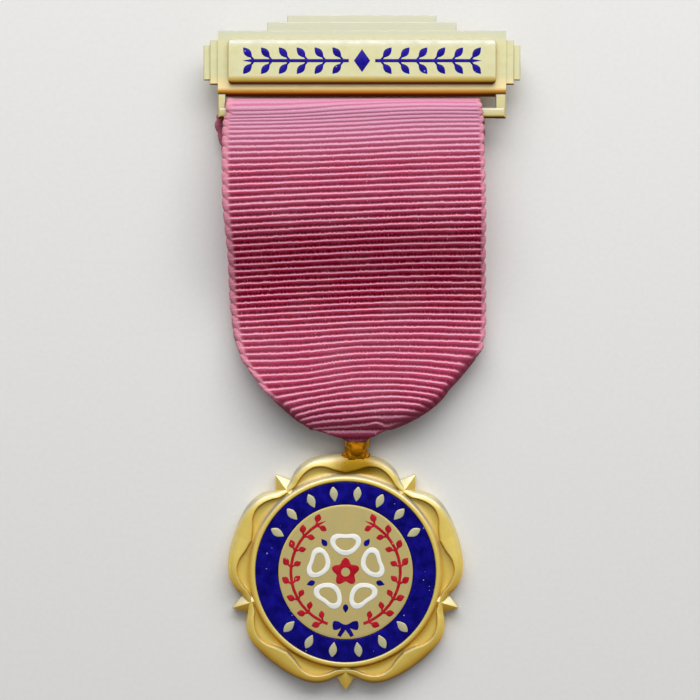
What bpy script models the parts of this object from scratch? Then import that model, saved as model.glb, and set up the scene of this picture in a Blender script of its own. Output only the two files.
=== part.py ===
"""Ribbon medallion: a stepped brooch bar, a folded ribbon and a rose badge on a link.

It lies on its back. Metres, +X to the right of the face, +Y towards the bar, +Z out of the
face. The origin is under the middle of the whole length, on the surface it lies on.
"""

import math

import bmesh
import bpy
from mathutils import Matrix, Vector

MM = 0.001

# Gaps between pieces
CLEARANCE = 0.3 * MM
ENAMEL_GAP = 0.12 * MM
MITRE_LIMIT = 2.2

# Ribbon
RIBBON_WIDTH = 38.2 * MM
RIBBON_THICK = 1.0 * MM
RIBBON_DROP = 46.4 * MM
RIBBON_WAVE = 1.3 * MM
RIBBON_SPREAD = 1.05 * MM
RIB_PITCH = 0.96 * MM
RIB_DEPTH = 0.22 * MM
RIB_SAG = 1.5 * MM
TIP_WIDTH = 2.6 * MM

# Brooch bar
PLATE_HEIGHT = 9.5 * MM
PLATE_THICK = 1.2 * MM
PLATE_EDGE_ROUND = 0.5 * MM
STEP_FALL = 0.35 * MM
STEP_EDGE_ROUND = 0.12 * MM
UPPER_STEP_WIDTH = 27.7 * MM
UPPER_STEP_RISE = 1.33 * MM
TOP_STEP_WIDTH = 21.85 * MM
TOP_STEP_RISE = 1.05 * MM
INNER_EAR_REACH = 1.2 * MM
INNER_EAR_HEIGHT = 6.4 * MM
OUTER_EAR_REACH = 0.95 * MM
OUTER_EAR_HEIGHT = 5.1 * MM
PANEL_SIDE_MARGIN = 1.5 * MM
PANEL_TOP_MARGIN = 1.25 * MM
PANEL_HEIGHT = 6.6 * MM
PANEL_RISE = 1.0 * MM
PANEL_ROUND = 0.6 * MM
PANEL_CORNER = 0.65 * MM

# Ribbon frame under the bar
SLOT_PLAY = 0.9 * MM
SLOT_SLACK = 0.1 * MM
POST_WIDTH = 1.5 * MM
RAIL_HEIGHT = 1.5 * MM
RAIL_ROUND = 0.4 * MM

# Pin behind the bar
PIN_WIRE = 0.9 * MM
PIN_SHARE = 0.76
PIN_TIP = 3.0 * MM
RIVET_DIAMETER = 0.9 * MM
EYE_WALL = 0.5 * MM
CHEEK_THICK = 0.6 * MM
CHEEK_WIDTH = 2.6 * MM
CATCH_WIDTH = 1.4 * MM
CATCH_WALL = 0.55 * MM
PIN_HEADROOM = 0.6 * MM
PIN_LIFT = 0.06 * MM

# Rose badge
PETALS = 5
RING_RADIUS = 13.25 * MM
RING_WIDTH = 3.4 * MM
RIM_WIDTH = 0.75 * MM
RIM_SLOPE = 0.3 * MM
PETAL_WIDTH = 3.05 * MM
BARB_PROUD = 0.25 * MM
BARB_HALF_WIDTH = 1.75 * MM
BADGE_THICK = 2.8 * MM
DISC_DROP = 0.1 * MM
RECESS_DEPTH = 0.9 * MM
POCKET_HEIGHT = 1.9 * MM
FOLD_STEP = 0.35 * MM
CREST_HEIGHT = 2.6 * MM
CREST_EDGE = 0.27 * MM
OUTLINE_HEIGHT = 1.2 * MM
BADGE_SHIFT = -2.4 * MM
NECK_SHIFT = -0.74 * MM

# Link and its eyelet
LINK_WIRE = 0.75 * MM
LINK_CORNER = 0.55 * MM
EYELET_WIDTH = 1.4 * MM
EYELET_WALL = 0.5 * MM
LINK_HEIGHT = 1.8 * MM

# Enamel patterns in the bar's panel
BAR_FILL_DEPTH = 0.5 * MM
BRANCH_START = 1.9 * MM
BRANCH_MARGIN = 2.05 * MM
BRANCH_STEM = 0.5 * MM
BRANCH_LEAF = 2.3 * MM
BRANCH_LEAF_WIDTH = 1.05 * MM
LOZENGE_LENGTH = 2.4 * MM
LOZENGE_HEIGHT = 3.4 * MM

# Gold leaves in the enamel ring, as shares of its width
RING_LEAF_SHARE = 0.68
RING_LEAF_WIDTH_SHARE = 0.325

# Enamel patterns on the disc, as shares of its radius
DISC_FILL_DEPTH = 0.6 * MM
ROSE_SHARES = {"middle": 0.421, "reach": 0.178, "half": 0.228, "stroke": 0.081}
HEART_SHARES = {"radius": 0.178, "boss": 0.066}
ROSE_BARB_SHARES = {"start": 0.477, "length": 0.137, "width": 0.086}
WREATH_SHARES = {"radius": 0.817, "stem": 0.046, "leaf": 0.157, "leaf_width": 0.096}
BOW_SHARES = {"reach": 0.193, "width": 0.147}

# The front of the ribbon from the rail to the link. along is a share of the drop, lift a share
# of the wave above a straight run, left and right the edges' places from the tip (0) to the
# ribbon's full width (1), sag_left and sag_right how far the ribs' ends hang, as shares of the
# rib sag.
FRONT_COLUMNS = ("along", "lift", "left", "right", "sag_left", "sag_right")
FRONT_ROWS = (
    (0.000, 0.00, 0.969, 0.976, 0.00, 0.00),
    (0.035, 0.05, 0.993, 0.983, 0.25, 0.00),
    (0.112, 0.38, 0.999, 0.986, 0.60, 0.05),
    (0.200, 0.78, 0.998, 0.990, 0.65, 0.10),
    (0.285, 1.00, 0.995, 0.995, 0.65, 0.10),
    (0.360, 0.86, 0.980, 0.998, 0.70, 0.15),
    (0.436, 0.36, 0.963, 1.000, 0.80, 0.20),
    (0.520, -0.28, 0.957, 1.008, 0.90, 0.25),
    (0.600, -0.62, 0.951, 1.014, 1.00, 0.30),
    (0.670, -0.58, 0.928, 1.006, 1.00, 0.40),
    (0.739, -0.28, 0.884, 0.984, 0.95, 0.40),
    (0.789, 0.04, 0.808, 0.912, 0.85, 0.40),
    (0.840, 0.40, 0.715, 0.761, 0.60, 0.35),
    (0.890, 0.68, 0.606, 0.638, 0.40, 0.30),
    (0.941, 0.70, 0.441, 0.471, 0.20, 0.20),
    (0.970, 0.50, 0.350, 0.300, 0.10, 0.10),
    (1.000, 0.00, 0.230, 0.130, 0.00, 0.00),
)

# The back of the ribbon from the link to the rail. rise is the share of the climb from the
# link to the rail's back.
BACK_COLUMNS = ("along", "rise", "left", "right")
BACK_ROWS = (
    (0.000, 0.00, 0.230, 0.130),
    (0.060, 0.00, 0.420, 0.420),
    (0.160, 0.00, 0.720, 0.760),
    (0.260, 0.00, 0.900, 0.985),
    (0.400, 0.00, 0.950, 1.000),
    (0.560, 0.02, 0.960, 1.000),
    (0.720, 0.20, 0.990, 1.000),
    (0.860, 0.58, 1.010, 1.015),
    (0.925, 0.80, 1.045, 1.050),
    (0.965, 0.93, 1.070, 1.045),
    (1.000, 1.00, 1.050, 0.995),
)

# How the ribbon narrows to pass through the link: turn in degrees from the bottom of the
# bend, width as a share from the tip's width to the width beside the link.
LINK_BEND = ((90, 1.0), (64, 0.35), (40, 0.0), (0, 0.0), (-40, 0.0), (-64, 0.35), (-90, 1.0))

# Half a petal from its middle (0) to the notch beside it (1). reach and fold are shares of the
# petal's width beyond the rim: the outline, and the line where the turned-over edge starts.
# swell is the share of the crest's height over the outline that is left.
PETAL_COLUMNS = ("turn", "reach", "fold", "swell")
PETAL_ROWS = (
    (0.00, 1.000, 0.067, 1.00),
    (0.17, 1.011, 0.215, 1.00),
    (0.33, 1.017, 0.460, 1.00),
    (0.48, 1.000, 0.545, 1.00),
    (0.62, 0.909, 0.443, 0.95),
    (0.75, 0.710, 0.249, 0.85),
    (0.85, 0.488, 0.078, 0.70),
    (1.00, 0.272, 0.044, 0.55),
)
PETAL_STEPS = 24

# One barb between two petals, in rows of (along from its root to its tip, across as a share of
# the half width, top as a share of the badge's thickness).
BARB_ROWS = (
    (0.00, 0.00, 0.97),
    (0.00, 0.75, 0.62),
    (0.30, 1.00, 0.46),
    (1.00, 0.00, 0.44),
)
BARB_FOOT = 0.08

# Sizes that follow from the ones above
SLOT_WIDTH = RIBBON_WIDTH + SLOT_PLAY
SLOT_HEIGHT = RIBBON_THICK + 2 * CLEARANCE + SLOT_SLACK
PLATE_WIDTH = SLOT_WIDTH + 2 * POST_WIDTH
PANEL_HALF = PLATE_WIDTH / 2 - PANEL_SIDE_MARGIN
BRANCH_LENGTH = PANEL_HALF - BRANCH_MARGIN - BRANCH_START
PIN_SPAN = PIN_SHARE * PLATE_WIDTH
EYE_RADIUS = RIVET_DIAMETER / 2 + CLEARANCE + EYE_WALL
PIN_HEIGHT = EYE_RADIUS + PIN_LIFT
BAR_BACK = PIN_HEIGHT + EYE_RADIUS + PIN_HEADROOM
BAR_FACE = BAR_BACK + PLATE_THICK
PANEL_FACE = BAR_FACE + PANEL_RISE

LINK_WRAP = LINK_WIRE / 2 + CLEARANCE + RIBBON_THICK / 2
EYELET_HOLE = LINK_WIRE / 2 + CLEARANCE
EYELET_RADIUS = EYELET_HOLE + EYELET_WALL
DISC_RADIUS = RING_RADIUS - RING_WIDTH
RIM_RADIUS = RING_RADIUS + RIM_WIDTH
POCKET_RADIUS = RIM_RADIUS + RIM_SLOPE
PETAL_RADIUS = POCKET_RADIUS + PETAL_WIDTH
BARB_REACH = PETAL_RADIUS + BARB_PROUD
NECK_OFFSET = NECK_SHIFT - BADGE_SHIFT
PETAL_RISE = math.sqrt(PETAL_RADIUS ** 2 - NECK_OFFSET ** 2)
WREATH_RADIUS = WREATH_SHARES["radius"] * DISC_RADIUS

BAR_REACH = (RAIL_HEIGHT / 2 + SLOT_HEIGHT + PLATE_HEIGHT + UPPER_STEP_RISE + TOP_STEP_RISE)
RAIL_WRAP = (PLATE_THICK + 2 * CLEARANCE + RIBBON_THICK) / 2 + SLOT_SLACK
RAIL_WRAP_SHIFT = RAIL_HEIGHT / 2 + SLOT_HEIGHT - CLEARANCE - RIBBON_THICK / 2 - RAIL_WRAP
LINK_TO_EYELET = LINK_WRAP + RIBBON_THICK / 2 + CLEARANCE + EYELET_RADIUS
EYELET_TO_PETAL = LINK_WIRE / 2 + CLEARANCE
RAIL_TO_TIP = (
    RIBBON_DROP - RAIL_WRAP_SHIFT + LINK_TO_EYELET + EYELET_TO_PETAL + PETAL_RISE + BARB_REACH
)
LENGTH = BAR_REACH + RAIL_TO_TIP

RAIL_Y = LENGTH / 2 - BAR_REACH
RAIL_WRAP_Y = RAIL_Y + RAIL_WRAP_SHIFT
LINK_Y = RAIL_WRAP_Y - RIBBON_DROP
EYELET_Y = LINK_Y - LINK_TO_EYELET
BADGE_Y = EYELET_Y - EYELET_TO_PETAL - PETAL_RISE
PLATE_FOOT = RAIL_Y + RAIL_HEIGHT / 2 + SLOT_HEIGHT
PLATE_HEAD = PLATE_FOOT + PLATE_HEIGHT
PANEL_Y = PLATE_HEAD - PANEL_TOP_MARGIN - PANEL_HEIGHT / 2
RAIL_MIDDLE = BAR_BACK + PLATE_THICK / 2

RIBBON_SLOT_LEFT = -SLOT_WIDTH / 2 + CLEARANCE
RIBBON_LEFT = RIBBON_SLOT_LEFT - RIBBON_SPREAD
RIBBON_RIGHT = RIBBON_LEFT + RIBBON_WIDTH
TIP_LEFT = NECK_SHIFT - TIP_WIDTH / 2
TIP_RIGHT = NECK_SHIFT + TIP_WIDTH / 2

DISC_FACE = BADGE_THICK - DISC_DROP
RING_FLOOR = BADGE_THICK - RECESS_DEPTH

FRONT_SPANS = 8
RAIL_TURNS = 12
BACK_STEPS = 14

# Finishes: colour, roughness, metallic
FINISHES = {
    "satin_gilt": ((0.80, 0.62, 0.24), 0.36, 1.0),
    "bright_gilt": ((0.83, 0.60, 0.22), 0.24, 1.0),
    "maroon_ribbon": ((0.32, 0.07, 0.15), 0.75, 0.0),
    "blue_enamel": ((0.02, 0.02, 0.28), 0.12, 0.0),
    "red_enamel": ((0.45, 0.01, 0.02), 0.12, 0.0),
    "white_enamel": ((0.85, 0.84, 0.78), 0.18, 0.0),
}


def clear_scene():
    """Start from an empty file with one collection for parts and one for cutters."""
    for obj in list(bpy.data.objects):
        bpy.data.objects.remove(obj)
    collections = []
    for name in ("ribbon_medallion", "cutters", "badge_additions", "badge_recesses",
                 "bar_additions", "bar_recesses"):
        collection = bpy.data.collections.new(name)
        bpy.context.scene.collection.children.link(collection)
        collections.append(collection)
    return collections


PARTS, CUTTERS, BADGE_ADDED, BADGE_CUT, BAR_ADDED, BAR_CUT = clear_scene()


def finish(name):
    """The material of that finish, made once."""
    material = bpy.data.materials.get(name)
    if material is None:
        colour, roughness, metallic = FINISHES[name]
        material = bpy.data.materials.new(name)
        material.use_nodes = True
        shader = material.node_tree.nodes["Principled BSDF"]
        shader.inputs["Base Color"].default_value = (*colour, 1)
        shader.inputs["Roughness"].default_value = roughness
        shader.inputs["Metallic"].default_value = metallic
    return material


def add_mesh(name, work, material, collection=PARTS):
    """An object from a bmesh, as a part, or as a guide for a Boolean when it is not one."""
    bmesh.ops.recalc_face_normals(work, faces=work.faces)
    mesh = bpy.data.meshes.new(name)
    work.to_mesh(mesh)
    work.free()
    obj = bpy.data.objects.new(name, mesh)
    collection.objects.link(obj)
    obj.data.materials.append(finish(material))
    if collection is PARTS:
        mesh.shade_smooth()
        mesh.set_sharp_from_angle(angle=math.radians(35))
    else:
        obj.hide_render = True
        obj.display_type = "WIRE"
    return obj


def join(target, operation, collection):
    """One exact Boolean of the target with every object in a collection."""
    boolean = target.modifiers.new(operation.title(), "BOOLEAN")
    boolean.operation = operation
    boolean.operand_type = "COLLECTION"
    boolean.collection = collection
    boolean.solver = "EXACT"


def slab(name, left, right, foot, head, low, high, material="satin_gilt", collection=BAR_ADDED,
         round_top=0.0, corner=0.0, segments=1):
    """A box between those faces, with rounded upright corners and a rounded front edge."""
    work = bmesh.new()
    size = Vector((right - left, head - foot, high - low))
    middle = Vector(((left + right) / 2, (foot + head) / 2, (low + high) / 2))
    place = Matrix.Translation(middle) @ Matrix.Diagonal((*size, 1))
    bmesh.ops.create_cube(work, size=1, matrix=place)
    if corner:
        upright = [e for e in work.edges if abs(e.verts[0].co.z - e.verts[1].co.z) > size.z / 2]
        bmesh.ops.bevel(work, geom=upright, offset=corner, segments=2, profile=0.5,
                        affect="EDGES")
    if round_top:
        top = [e for e in work.edges if all(v.co.z > high - size.z / 4 for v in e.verts)]
        bmesh.ops.bevel(work, geom=top, offset=round_top, segments=segments, profile=0.5,
                        affect="EDGES")
    return add_mesh(name, work, material, collection)


def rod(name, start, end, radius, material="satin_gilt", collection=CUTTERS, sides=16,
        end_radius=None):
    """A round bar or cone between two points."""
    work = bmesh.new()
    axis = Vector(end) - Vector(start)
    turn = axis.to_track_quat("Z", "Y").to_matrix().to_4x4()
    place = Matrix.Translation((Vector(start) + Vector(end)) / 2) @ turn
    bmesh.ops.create_cone(work, cap_ends=True, segments=sides, radius1=radius,
                          radius2=radius if end_radius is None else end_radius,
                          depth=axis.length, matrix=place)
    return add_mesh(name, work, material, collection)


def flat_solid(name, outlines, low, high, material, collection=PARTS):
    """A plate of a closed outline, with a hole for each further outline."""
    curve = bpy.data.curves.new(name, "CURVE")
    curve.dimensions = "2D"
    curve.fill_mode = "BOTH"
    curve.extrude = (high - low) / 2
    for outline in outlines:
        spline = curve.splines.new("POLY")
        spline.points.add(len(outline) - 1)
        spline.use_cyclic_u = True
        for point, (x, y) in zip(spline.points, outline):
            point.co = (x, y, 0, 1)
    drawn = bpy.data.objects.new(name + "_outline", curve)
    CUTTERS.objects.link(drawn)
    depsgraph = bpy.context.evaluated_depsgraph_get()
    mesh = bpy.data.meshes.new_from_object(drawn.evaluated_get(depsgraph))
    bpy.data.objects.remove(drawn)
    work = bmesh.new()
    work.from_mesh(mesh)
    bpy.data.meshes.remove(mesh)
    bmesh.ops.remove_doubles(work, verts=work.verts, dist=MM / 1000)
    bmesh.ops.translate(work, verts=work.verts, vec=(0, 0, (low + high) / 2))
    return add_mesh(name, work, material, collection)


def loft(name, sections, material, closed=False, collection=PARTS):
    """A skin through closed sections of equal count: capped, or joined end to end."""
    work = bmesh.new()
    rings = [[work.verts.new(point) for point in section] for section in sections]
    count = len(rings[0])
    pairs = list(zip(rings, rings[1:]))
    if closed:
        pairs.append((rings[-1], rings[0]))
    for near, far in pairs:
        for i in range(count):
            j = (i + 1) % count
            work.faces.new((near[i], near[j], far[j], far[i]))
    if not closed:
        work.faces.new(rings[0])
        work.faces.new(rings[-1])
    return add_mesh(name, work, material, collection)


def read(columns, rows, column, along):
    """A smooth reading of one column of a table at a place along its first column."""
    pick = columns.index(column)
    places = [row[0] for row in rows]
    values = [row[pick] for row in rows]
    last = len(rows) - 1
    along = min(max(along, places[0]), places[last])
    i = max(k for k in range(last) if places[k] <= along)

    def slope(k):
        """The slope at a row, from the rows beside it."""
        low, high = max(k - 1, 0), min(k + 1, last)
        return (values[high] - values[low]) / (places[high] - places[low])

    gap = places[i + 1] - places[i]
    t = (along - places[i]) / gap
    start = (2 * t ** 3 - 3 * t ** 2 + 1) * values[i] + (t ** 3 - 2 * t ** 2 + t) * gap * slope(i)
    end = (3 * t ** 2 - 2 * t ** 3) * values[i + 1] + (t ** 3 - t ** 2) * gap * slope(i + 1)
    return start + end


def mix(start, end, share):
    """The value a share of the way from start to end."""
    return start + (end - start) * share


def polar(radius, angle):
    """The point at a radius and an angle in degrees."""
    turn = math.radians(angle)
    return radius * math.cos(turn), radius * math.sin(turn)


# Ribbon


def front_point(along, across, offset):
    """A point of the ribbon's front run, offset from its middle surface."""
    rail_z = RAIL_MIDDLE + RAIL_WRAP
    link_z = LINK_HEIGHT + LINK_WRAP
    peak = 0.6
    if across < peak:
        sag = read(FRONT_COLUMNS, FRONT_ROWS, "sag_left", along) * (1 - across / peak) ** 2
    else:
        sag = read(FRONT_COLUMNS, FRONT_ROWS, "sag_right", along)
        sag *= ((across - peak) / (1 - peak)) ** 2
    along = along + sag * RIB_SAG / RIBBON_DROP

    def height(place):
        """The middle surface's height at a place along the run."""
        lift = read(FRONT_COLUMNS, FRONT_ROWS, "lift", place)
        return mix(rail_z, link_z, place) + lift * RIBBON_WAVE

    step = 0.002
    run = Vector((-2 * step * RIBBON_DROP, height(along + step) - height(along - step)))
    normal = Vector((run.y, -run.x)).normalized()
    left = mix(TIP_LEFT, RIBBON_LEFT, read(FRONT_COLUMNS, FRONT_ROWS, "left", along))
    right = mix(TIP_RIGHT, RIBBON_RIGHT, read(FRONT_COLUMNS, FRONT_ROWS, "right", along))
    y = RAIL_WRAP_Y - along * RIBBON_DROP
    return (mix(left, right, across), y + normal.x * offset, height(along) + normal.y * offset)


def bend_section(centre_y, centre_z, radius, turn, left, right, groove):
    """A section where the ribbon bends round a wire, turn degrees from the +Y side."""
    def at(across, offset):
        """A point of the bend at a place across the ribbon."""
        reach = radius + offset
        angle = math.radians(turn)
        return (mix(left, right, across), centre_y + reach * math.cos(angle),
                centre_z + reach * math.sin(angle))

    outer = RIBBON_THICK / 2 - groove
    front = [at(i / FRONT_SPANS, outer) for i in range(FRONT_SPANS + 1)]
    back = [at(i / 2, -RIBBON_THICK / 2) for i in (2, 1, 0)]
    return front + back


def ribbon():
    """The closed loop of ribbon: over the rail, down the front, round the link and back up."""
    sections = []
    first = FRONT_ROWS[0]
    front_left = mix(TIP_LEFT, RIBBON_LEFT, first[FRONT_COLUMNS.index("left")])
    front_right = mix(TIP_RIGHT, RIBBON_RIGHT, first[FRONT_COLUMNS.index("right")])
    slot_right = front_right - CLEARANCE
    for i in range(1, RAIL_TURNS):
        turn = mix(-90, 90, i / RAIL_TURNS)
        spread = max(0, (abs(turn) - 50) / 40)
        left = mix(RIBBON_SLOT_LEFT, front_left, spread)
        right = mix(slot_right, front_right, spread)
        sections.append(bend_section(RAIL_WRAP_Y, RAIL_MIDDLE, RAIL_WRAP, turn, left, right,
                                     RIB_DEPTH * (i % 2)))
    steps = 2 * round(RIBBON_DROP / RIB_PITCH)
    for i in range(steps + 1):
        along = i / steps
        outer = RIBBON_THICK / 2 - RIB_DEPTH * (i % 2)
        front = [front_point(along, k / FRONT_SPANS, outer) for k in range(FRONT_SPANS + 1)]
        back = [front_point(along, k / 2, -RIBBON_THICK / 2) for k in (2, 1, 0)]
        sections.append(front + back)
    last = FRONT_ROWS[-1]
    for turn, width in LINK_BEND:
        left = mix(TIP_LEFT, RIBBON_LEFT, last[FRONT_COLUMNS.index("left")] * width)
        right = mix(TIP_RIGHT, RIBBON_RIGHT, last[FRONT_COLUMNS.index("right")] * width)
        if abs(turn) < 90:
            sections.append(bend_section(LINK_Y, LINK_HEIGHT, LINK_WRAP, 180 - turn, left, right,
                                         0))
    low_z = LINK_HEIGHT - LINK_WRAP
    high_z = RAIL_MIDDLE - RAIL_WRAP
    for i in range(BACK_STEPS + 1):
        along = i / BACK_STEPS
        left = mix(TIP_LEFT, RIBBON_LEFT, read(BACK_COLUMNS, BACK_ROWS, "left", along))
        right = mix(TIP_RIGHT, RIBBON_RIGHT, read(BACK_COLUMNS, BACK_ROWS, "right", along))
        y = mix(LINK_Y, RAIL_WRAP_Y, along)
        z = mix(low_z, high_z, read(BACK_COLUMNS, BACK_ROWS, "rise", along))
        half = RIBBON_THICK / 2
        outer = [(mix(left, right, k / FRONT_SPANS), y, z - half)
                 for k in range(FRONT_SPANS + 1)]
        inner = [(mix(left, right, k / 2), y, z + half) for k in (2, 1, 0)]
        sections.append(outer + inner)
    return loft("ribbon", sections, "maroon_ribbon", closed=True)


# Brooch bar


def grown(outline, distance):
    """A closed outline moved outwards by a distance, with its corners mitred."""
    points = [Vector(point) for point in outline]
    area = sum(a.x * b.y - a.y * b.x for a, b in zip(points, points[1:] + points[:1]))
    side = math.copysign(1, area)
    moved = []
    for i, point in enumerate(points):
        before = (point - points[i - 1]).normalized()
        after = (points[(i + 1) % len(points)] - point).normalized()
        normals = [Vector((run.y, -run.x)) * side for run in (before, after)]
        mitre = (normals[0] + normals[1]) / (1 + normals[0].dot(normals[1]))
        if mitre.length > MITRE_LIMIT:
            mitre *= MITRE_LIMIT / mitre.length
        moved.append(tuple(point + mitre * distance))
    return moved


def recess(outlines):
    """The outlines of the recess for a flat piece: its outside grown, its holes shrunk."""
    return [grown(outlines[0], ENAMEL_GAP)] + [grown(hole, -ENAMEL_GAP) for hole in outlines[1:]]


def branch(length, pairs, stem, leaf, leaf_width):
    """A leafy branch along +x from its cut end: its outline in (along, across)."""
    lean = math.radians(48)
    edge = stem / 2
    foot = 0.3 * leaf_width
    half = leaf_width / 2
    sides = []
    for side in (1, -1):
        reach = Vector((math.cos(lean), side * math.sin(lean)))
        across = Vector((-math.sin(lean), side * math.cos(lean)))
        points = [Vector((0, side * edge))]
        for i in range(pairs):
            root = Vector(((i + 0.35) / pairs * length, side * edge))
            waist = root + reach * 0.55 * leaf
            points += [Vector((root.x - foot, side * edge)), waist + across * half,
                       root + reach * leaf, waist - across * half,
                       Vector((root.x + foot, side * edge))]
        sides.append(points)
    return [tuple(p) for p in sides[0] + [Vector((length, 0))] + sides[1][::-1]]


def bar_branch_outline(side):
    """The branch on one half of the bar's panel, growing away from its middle."""
    outline = branch(BRANCH_LENGTH, 6, BRANCH_STEM, BRANCH_LEAF, BRANCH_LEAF_WIDTH)
    return [(side * (BRANCH_START + x), PANEL_Y + y) for x, y in outline]


def lozenge_outline():
    """The lozenge in the middle of the bar's panel."""
    half_x, half_y = LOZENGE_LENGTH / 2, LOZENGE_HEIGHT / 2
    return [(half_x, PANEL_Y), (0, PANEL_Y + half_y), (-half_x, PANEL_Y), (0, PANEL_Y - half_y)]


def bar_patterns():
    """Each enamel piece of the bar: its name and its outlines."""
    return (
        ("bar_branch_left", [bar_branch_outline(-1)]),
        ("bar_branch_right", [bar_branch_outline(1)]),
        ("bar_lozenge", [lozenge_outline()]),
    )


def brooch_bar():
    """The struck bar: plate, steps, ears, panel, ribbon frame, hinge and catch in one."""
    half = PLATE_WIDTH / 2
    bar = slab("brooch_bar", -half, half, PLATE_FOOT, PLATE_HEAD, BAR_BACK, BAR_FACE,
               collection=PARTS, round_top=PLATE_EDGE_ROUND, segments=2)
    step_face = BAR_FACE - STEP_FALL
    low_face = step_face - STEP_FALL
    foot = PLATE_FOOT + PLATE_EDGE_ROUND
    steps = (
        ("upper_step", UPPER_STEP_WIDTH / 2, foot, PLATE_HEAD + UPPER_STEP_RISE, step_face),
        ("top_step", TOP_STEP_WIDTH / 2, foot, PLATE_HEAD + UPPER_STEP_RISE + TOP_STEP_RISE,
         low_face),
        ("inner_ears", half + INNER_EAR_REACH, PANEL_Y - INNER_EAR_HEIGHT / 2,
         PANEL_Y + INNER_EAR_HEIGHT / 2, step_face),
        ("outer_ears", half + INNER_EAR_REACH + OUTER_EAR_REACH, PANEL_Y - OUTER_EAR_HEIGHT / 2,
         PANEL_Y + OUTER_EAR_HEIGHT / 2, low_face),
    )
    for name, reach, low_y, high_y, face in steps:
        slab(name, -reach, reach, low_y, high_y, BAR_BACK, face, round_top=STEP_EDGE_ROUND)
    slab("panel", -PANEL_HALF, PANEL_HALF, PANEL_Y - PANEL_HEIGHT / 2,
         PANEL_Y + PANEL_HEIGHT / 2, BAR_BACK + PLATE_THICK / 2, PANEL_FACE,
         round_top=PANEL_ROUND, corner=PANEL_CORNER, segments=2)
    rail_foot = RAIL_Y - RAIL_HEIGHT / 2
    for name, left, right in (("left_post", -half, -SLOT_WIDTH / 2),
                              ("right_post", SLOT_WIDTH / 2, half)):
        slab(name, left, right, rail_foot, foot, BAR_BACK, BAR_FACE, round_top=STEP_EDGE_ROUND)
    rail = rail_solid(half - POST_WIDTH / 2)
    rail.name = "rail"
    pin_fittings()
    join(bar, "UNION", BAR_ADDED)
    for name, outlines in bar_patterns():
        flat_solid(name + "_recess", recess(outlines),
                   PANEL_FACE - BAR_FILL_DEPTH - ENAMEL_GAP, PANEL_FACE + PANEL_RISE,
                   "satin_gilt", BAR_CUT)
    join(bar, "DIFFERENCE", BAR_CUT)
    return bar


def rail_solid(half):
    """The rail that the ribbon hangs on, a bar with rounded long edges."""
    work = bmesh.new()
    size = Vector((2 * half, RAIL_HEIGHT, PLATE_THICK))
    place = Matrix.Translation((0, RAIL_Y, RAIL_MIDDLE)) @ Matrix.Diagonal((*size, 1))
    bmesh.ops.create_cube(work, size=1, matrix=place)
    long_edges = [e for e in work.edges if abs(e.verts[0].co.x - e.verts[1].co.x) > half]
    bmesh.ops.bevel(work, geom=long_edges, offset=RAIL_ROUND, segments=2, profile=0.5,
                    affect="EDGES")
    return add_mesh("rail", work, "satin_gilt", BAR_ADDED)


def pin_fittings():
    """The hinge's cheeks and rivet and the catch behind the bar."""
    sunk = BAR_BACK + PLATE_THICK / 4
    hinge_x, catch_x = -PIN_SPAN / 2, PIN_SPAN / 2
    gap = PIN_WIRE / 2 + CLEARANCE
    for name, near in (("upper_cheek", gap), ("lower_cheek", -gap - CHEEK_THICK)):
        slab(name, hinge_x - CHEEK_WIDTH / 2, hinge_x + CHEEK_WIDTH / 2, PANEL_Y + near,
             PANEL_Y + near + CHEEK_THICK, 0, sunk)
    rod("rivet", (hinge_x, PANEL_Y - gap - CHEEK_THICK / 2, PIN_HEIGHT),
        (hinge_x, PANEL_Y + gap + CHEEK_THICK / 2, PIN_HEIGHT), RIVET_DIAMETER / 2,
        collection=BAR_ADDED, sides=12)
    hook_foot = PANEL_Y - gap - CATCH_WALL
    slab("catch_back", catch_x - CATCH_WIDTH / 2, catch_x + CATCH_WIDTH / 2, hook_foot,
         PANEL_Y - gap, 0, sunk)
    slab("catch_lip", catch_x - CATCH_WIDTH / 2, catch_x + CATCH_WIDTH / 2,
         hook_foot + CATCH_WALL / 4, PANEL_Y + gap, 0, PIN_HEIGHT - gap)


def brooch_pin():
    """The needle: an eye round the hinge's rivet, a straight wire and a ground tip."""
    hinge_x, tip_x = -PIN_SPAN / 2, PIN_SPAN / 2 + CATCH_WIDTH + PIN_TIP
    middle = (hinge_x, PANEL_Y, PIN_HEIGHT)
    half = Vector((0, PIN_WIRE / 2, 0))
    pin = rod("brooch_pin", Vector(middle) - half, Vector(middle) + half, EYE_RADIUS,
              "bright_gilt", PARTS)
    wire_start = (hinge_x + EYE_RADIUS - EYE_WALL / 2, PANEL_Y, PIN_HEIGHT)
    tip_start = (tip_x - PIN_TIP, PANEL_Y, PIN_HEIGHT)
    shank = rod("pin_shank", wire_start, tip_start, PIN_WIRE / 2 * 0.98, sides=10)
    point = rod("pin_point", (tip_start[0] - PIN_WIRE / 2, PANEL_Y, PIN_HEIGHT),
                (tip_x, PANEL_Y, PIN_HEIGHT), PIN_WIRE / 2 * 0.9, sides=10,
                end_radius=PIN_WIRE / 8)
    hole = rod("pin_eye_hole", Vector(middle) - 2 * half, Vector(middle) + 2 * half,
               RIVET_DIAMETER / 2 + CLEARANCE)
    for operation, tool in (("UNION", shank), ("UNION", point), ("DIFFERENCE", hole)):
        boolean = pin.modifiers.new(tool.name, "BOOLEAN")
        boolean.operation = operation
        boolean.object = tool
        boolean.solver = "EXACT"
    return pin


# Rose badge


def petal_reading(angle, column):
    """A petal table's column at an angle round the badge, in degrees."""
    spacing = 360 / PETALS
    turn = (angle - 90 + spacing / 2) % spacing - spacing / 2
    return read(PETAL_COLUMNS, PETAL_ROWS, column, abs(turn) / (spacing / 2))


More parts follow.
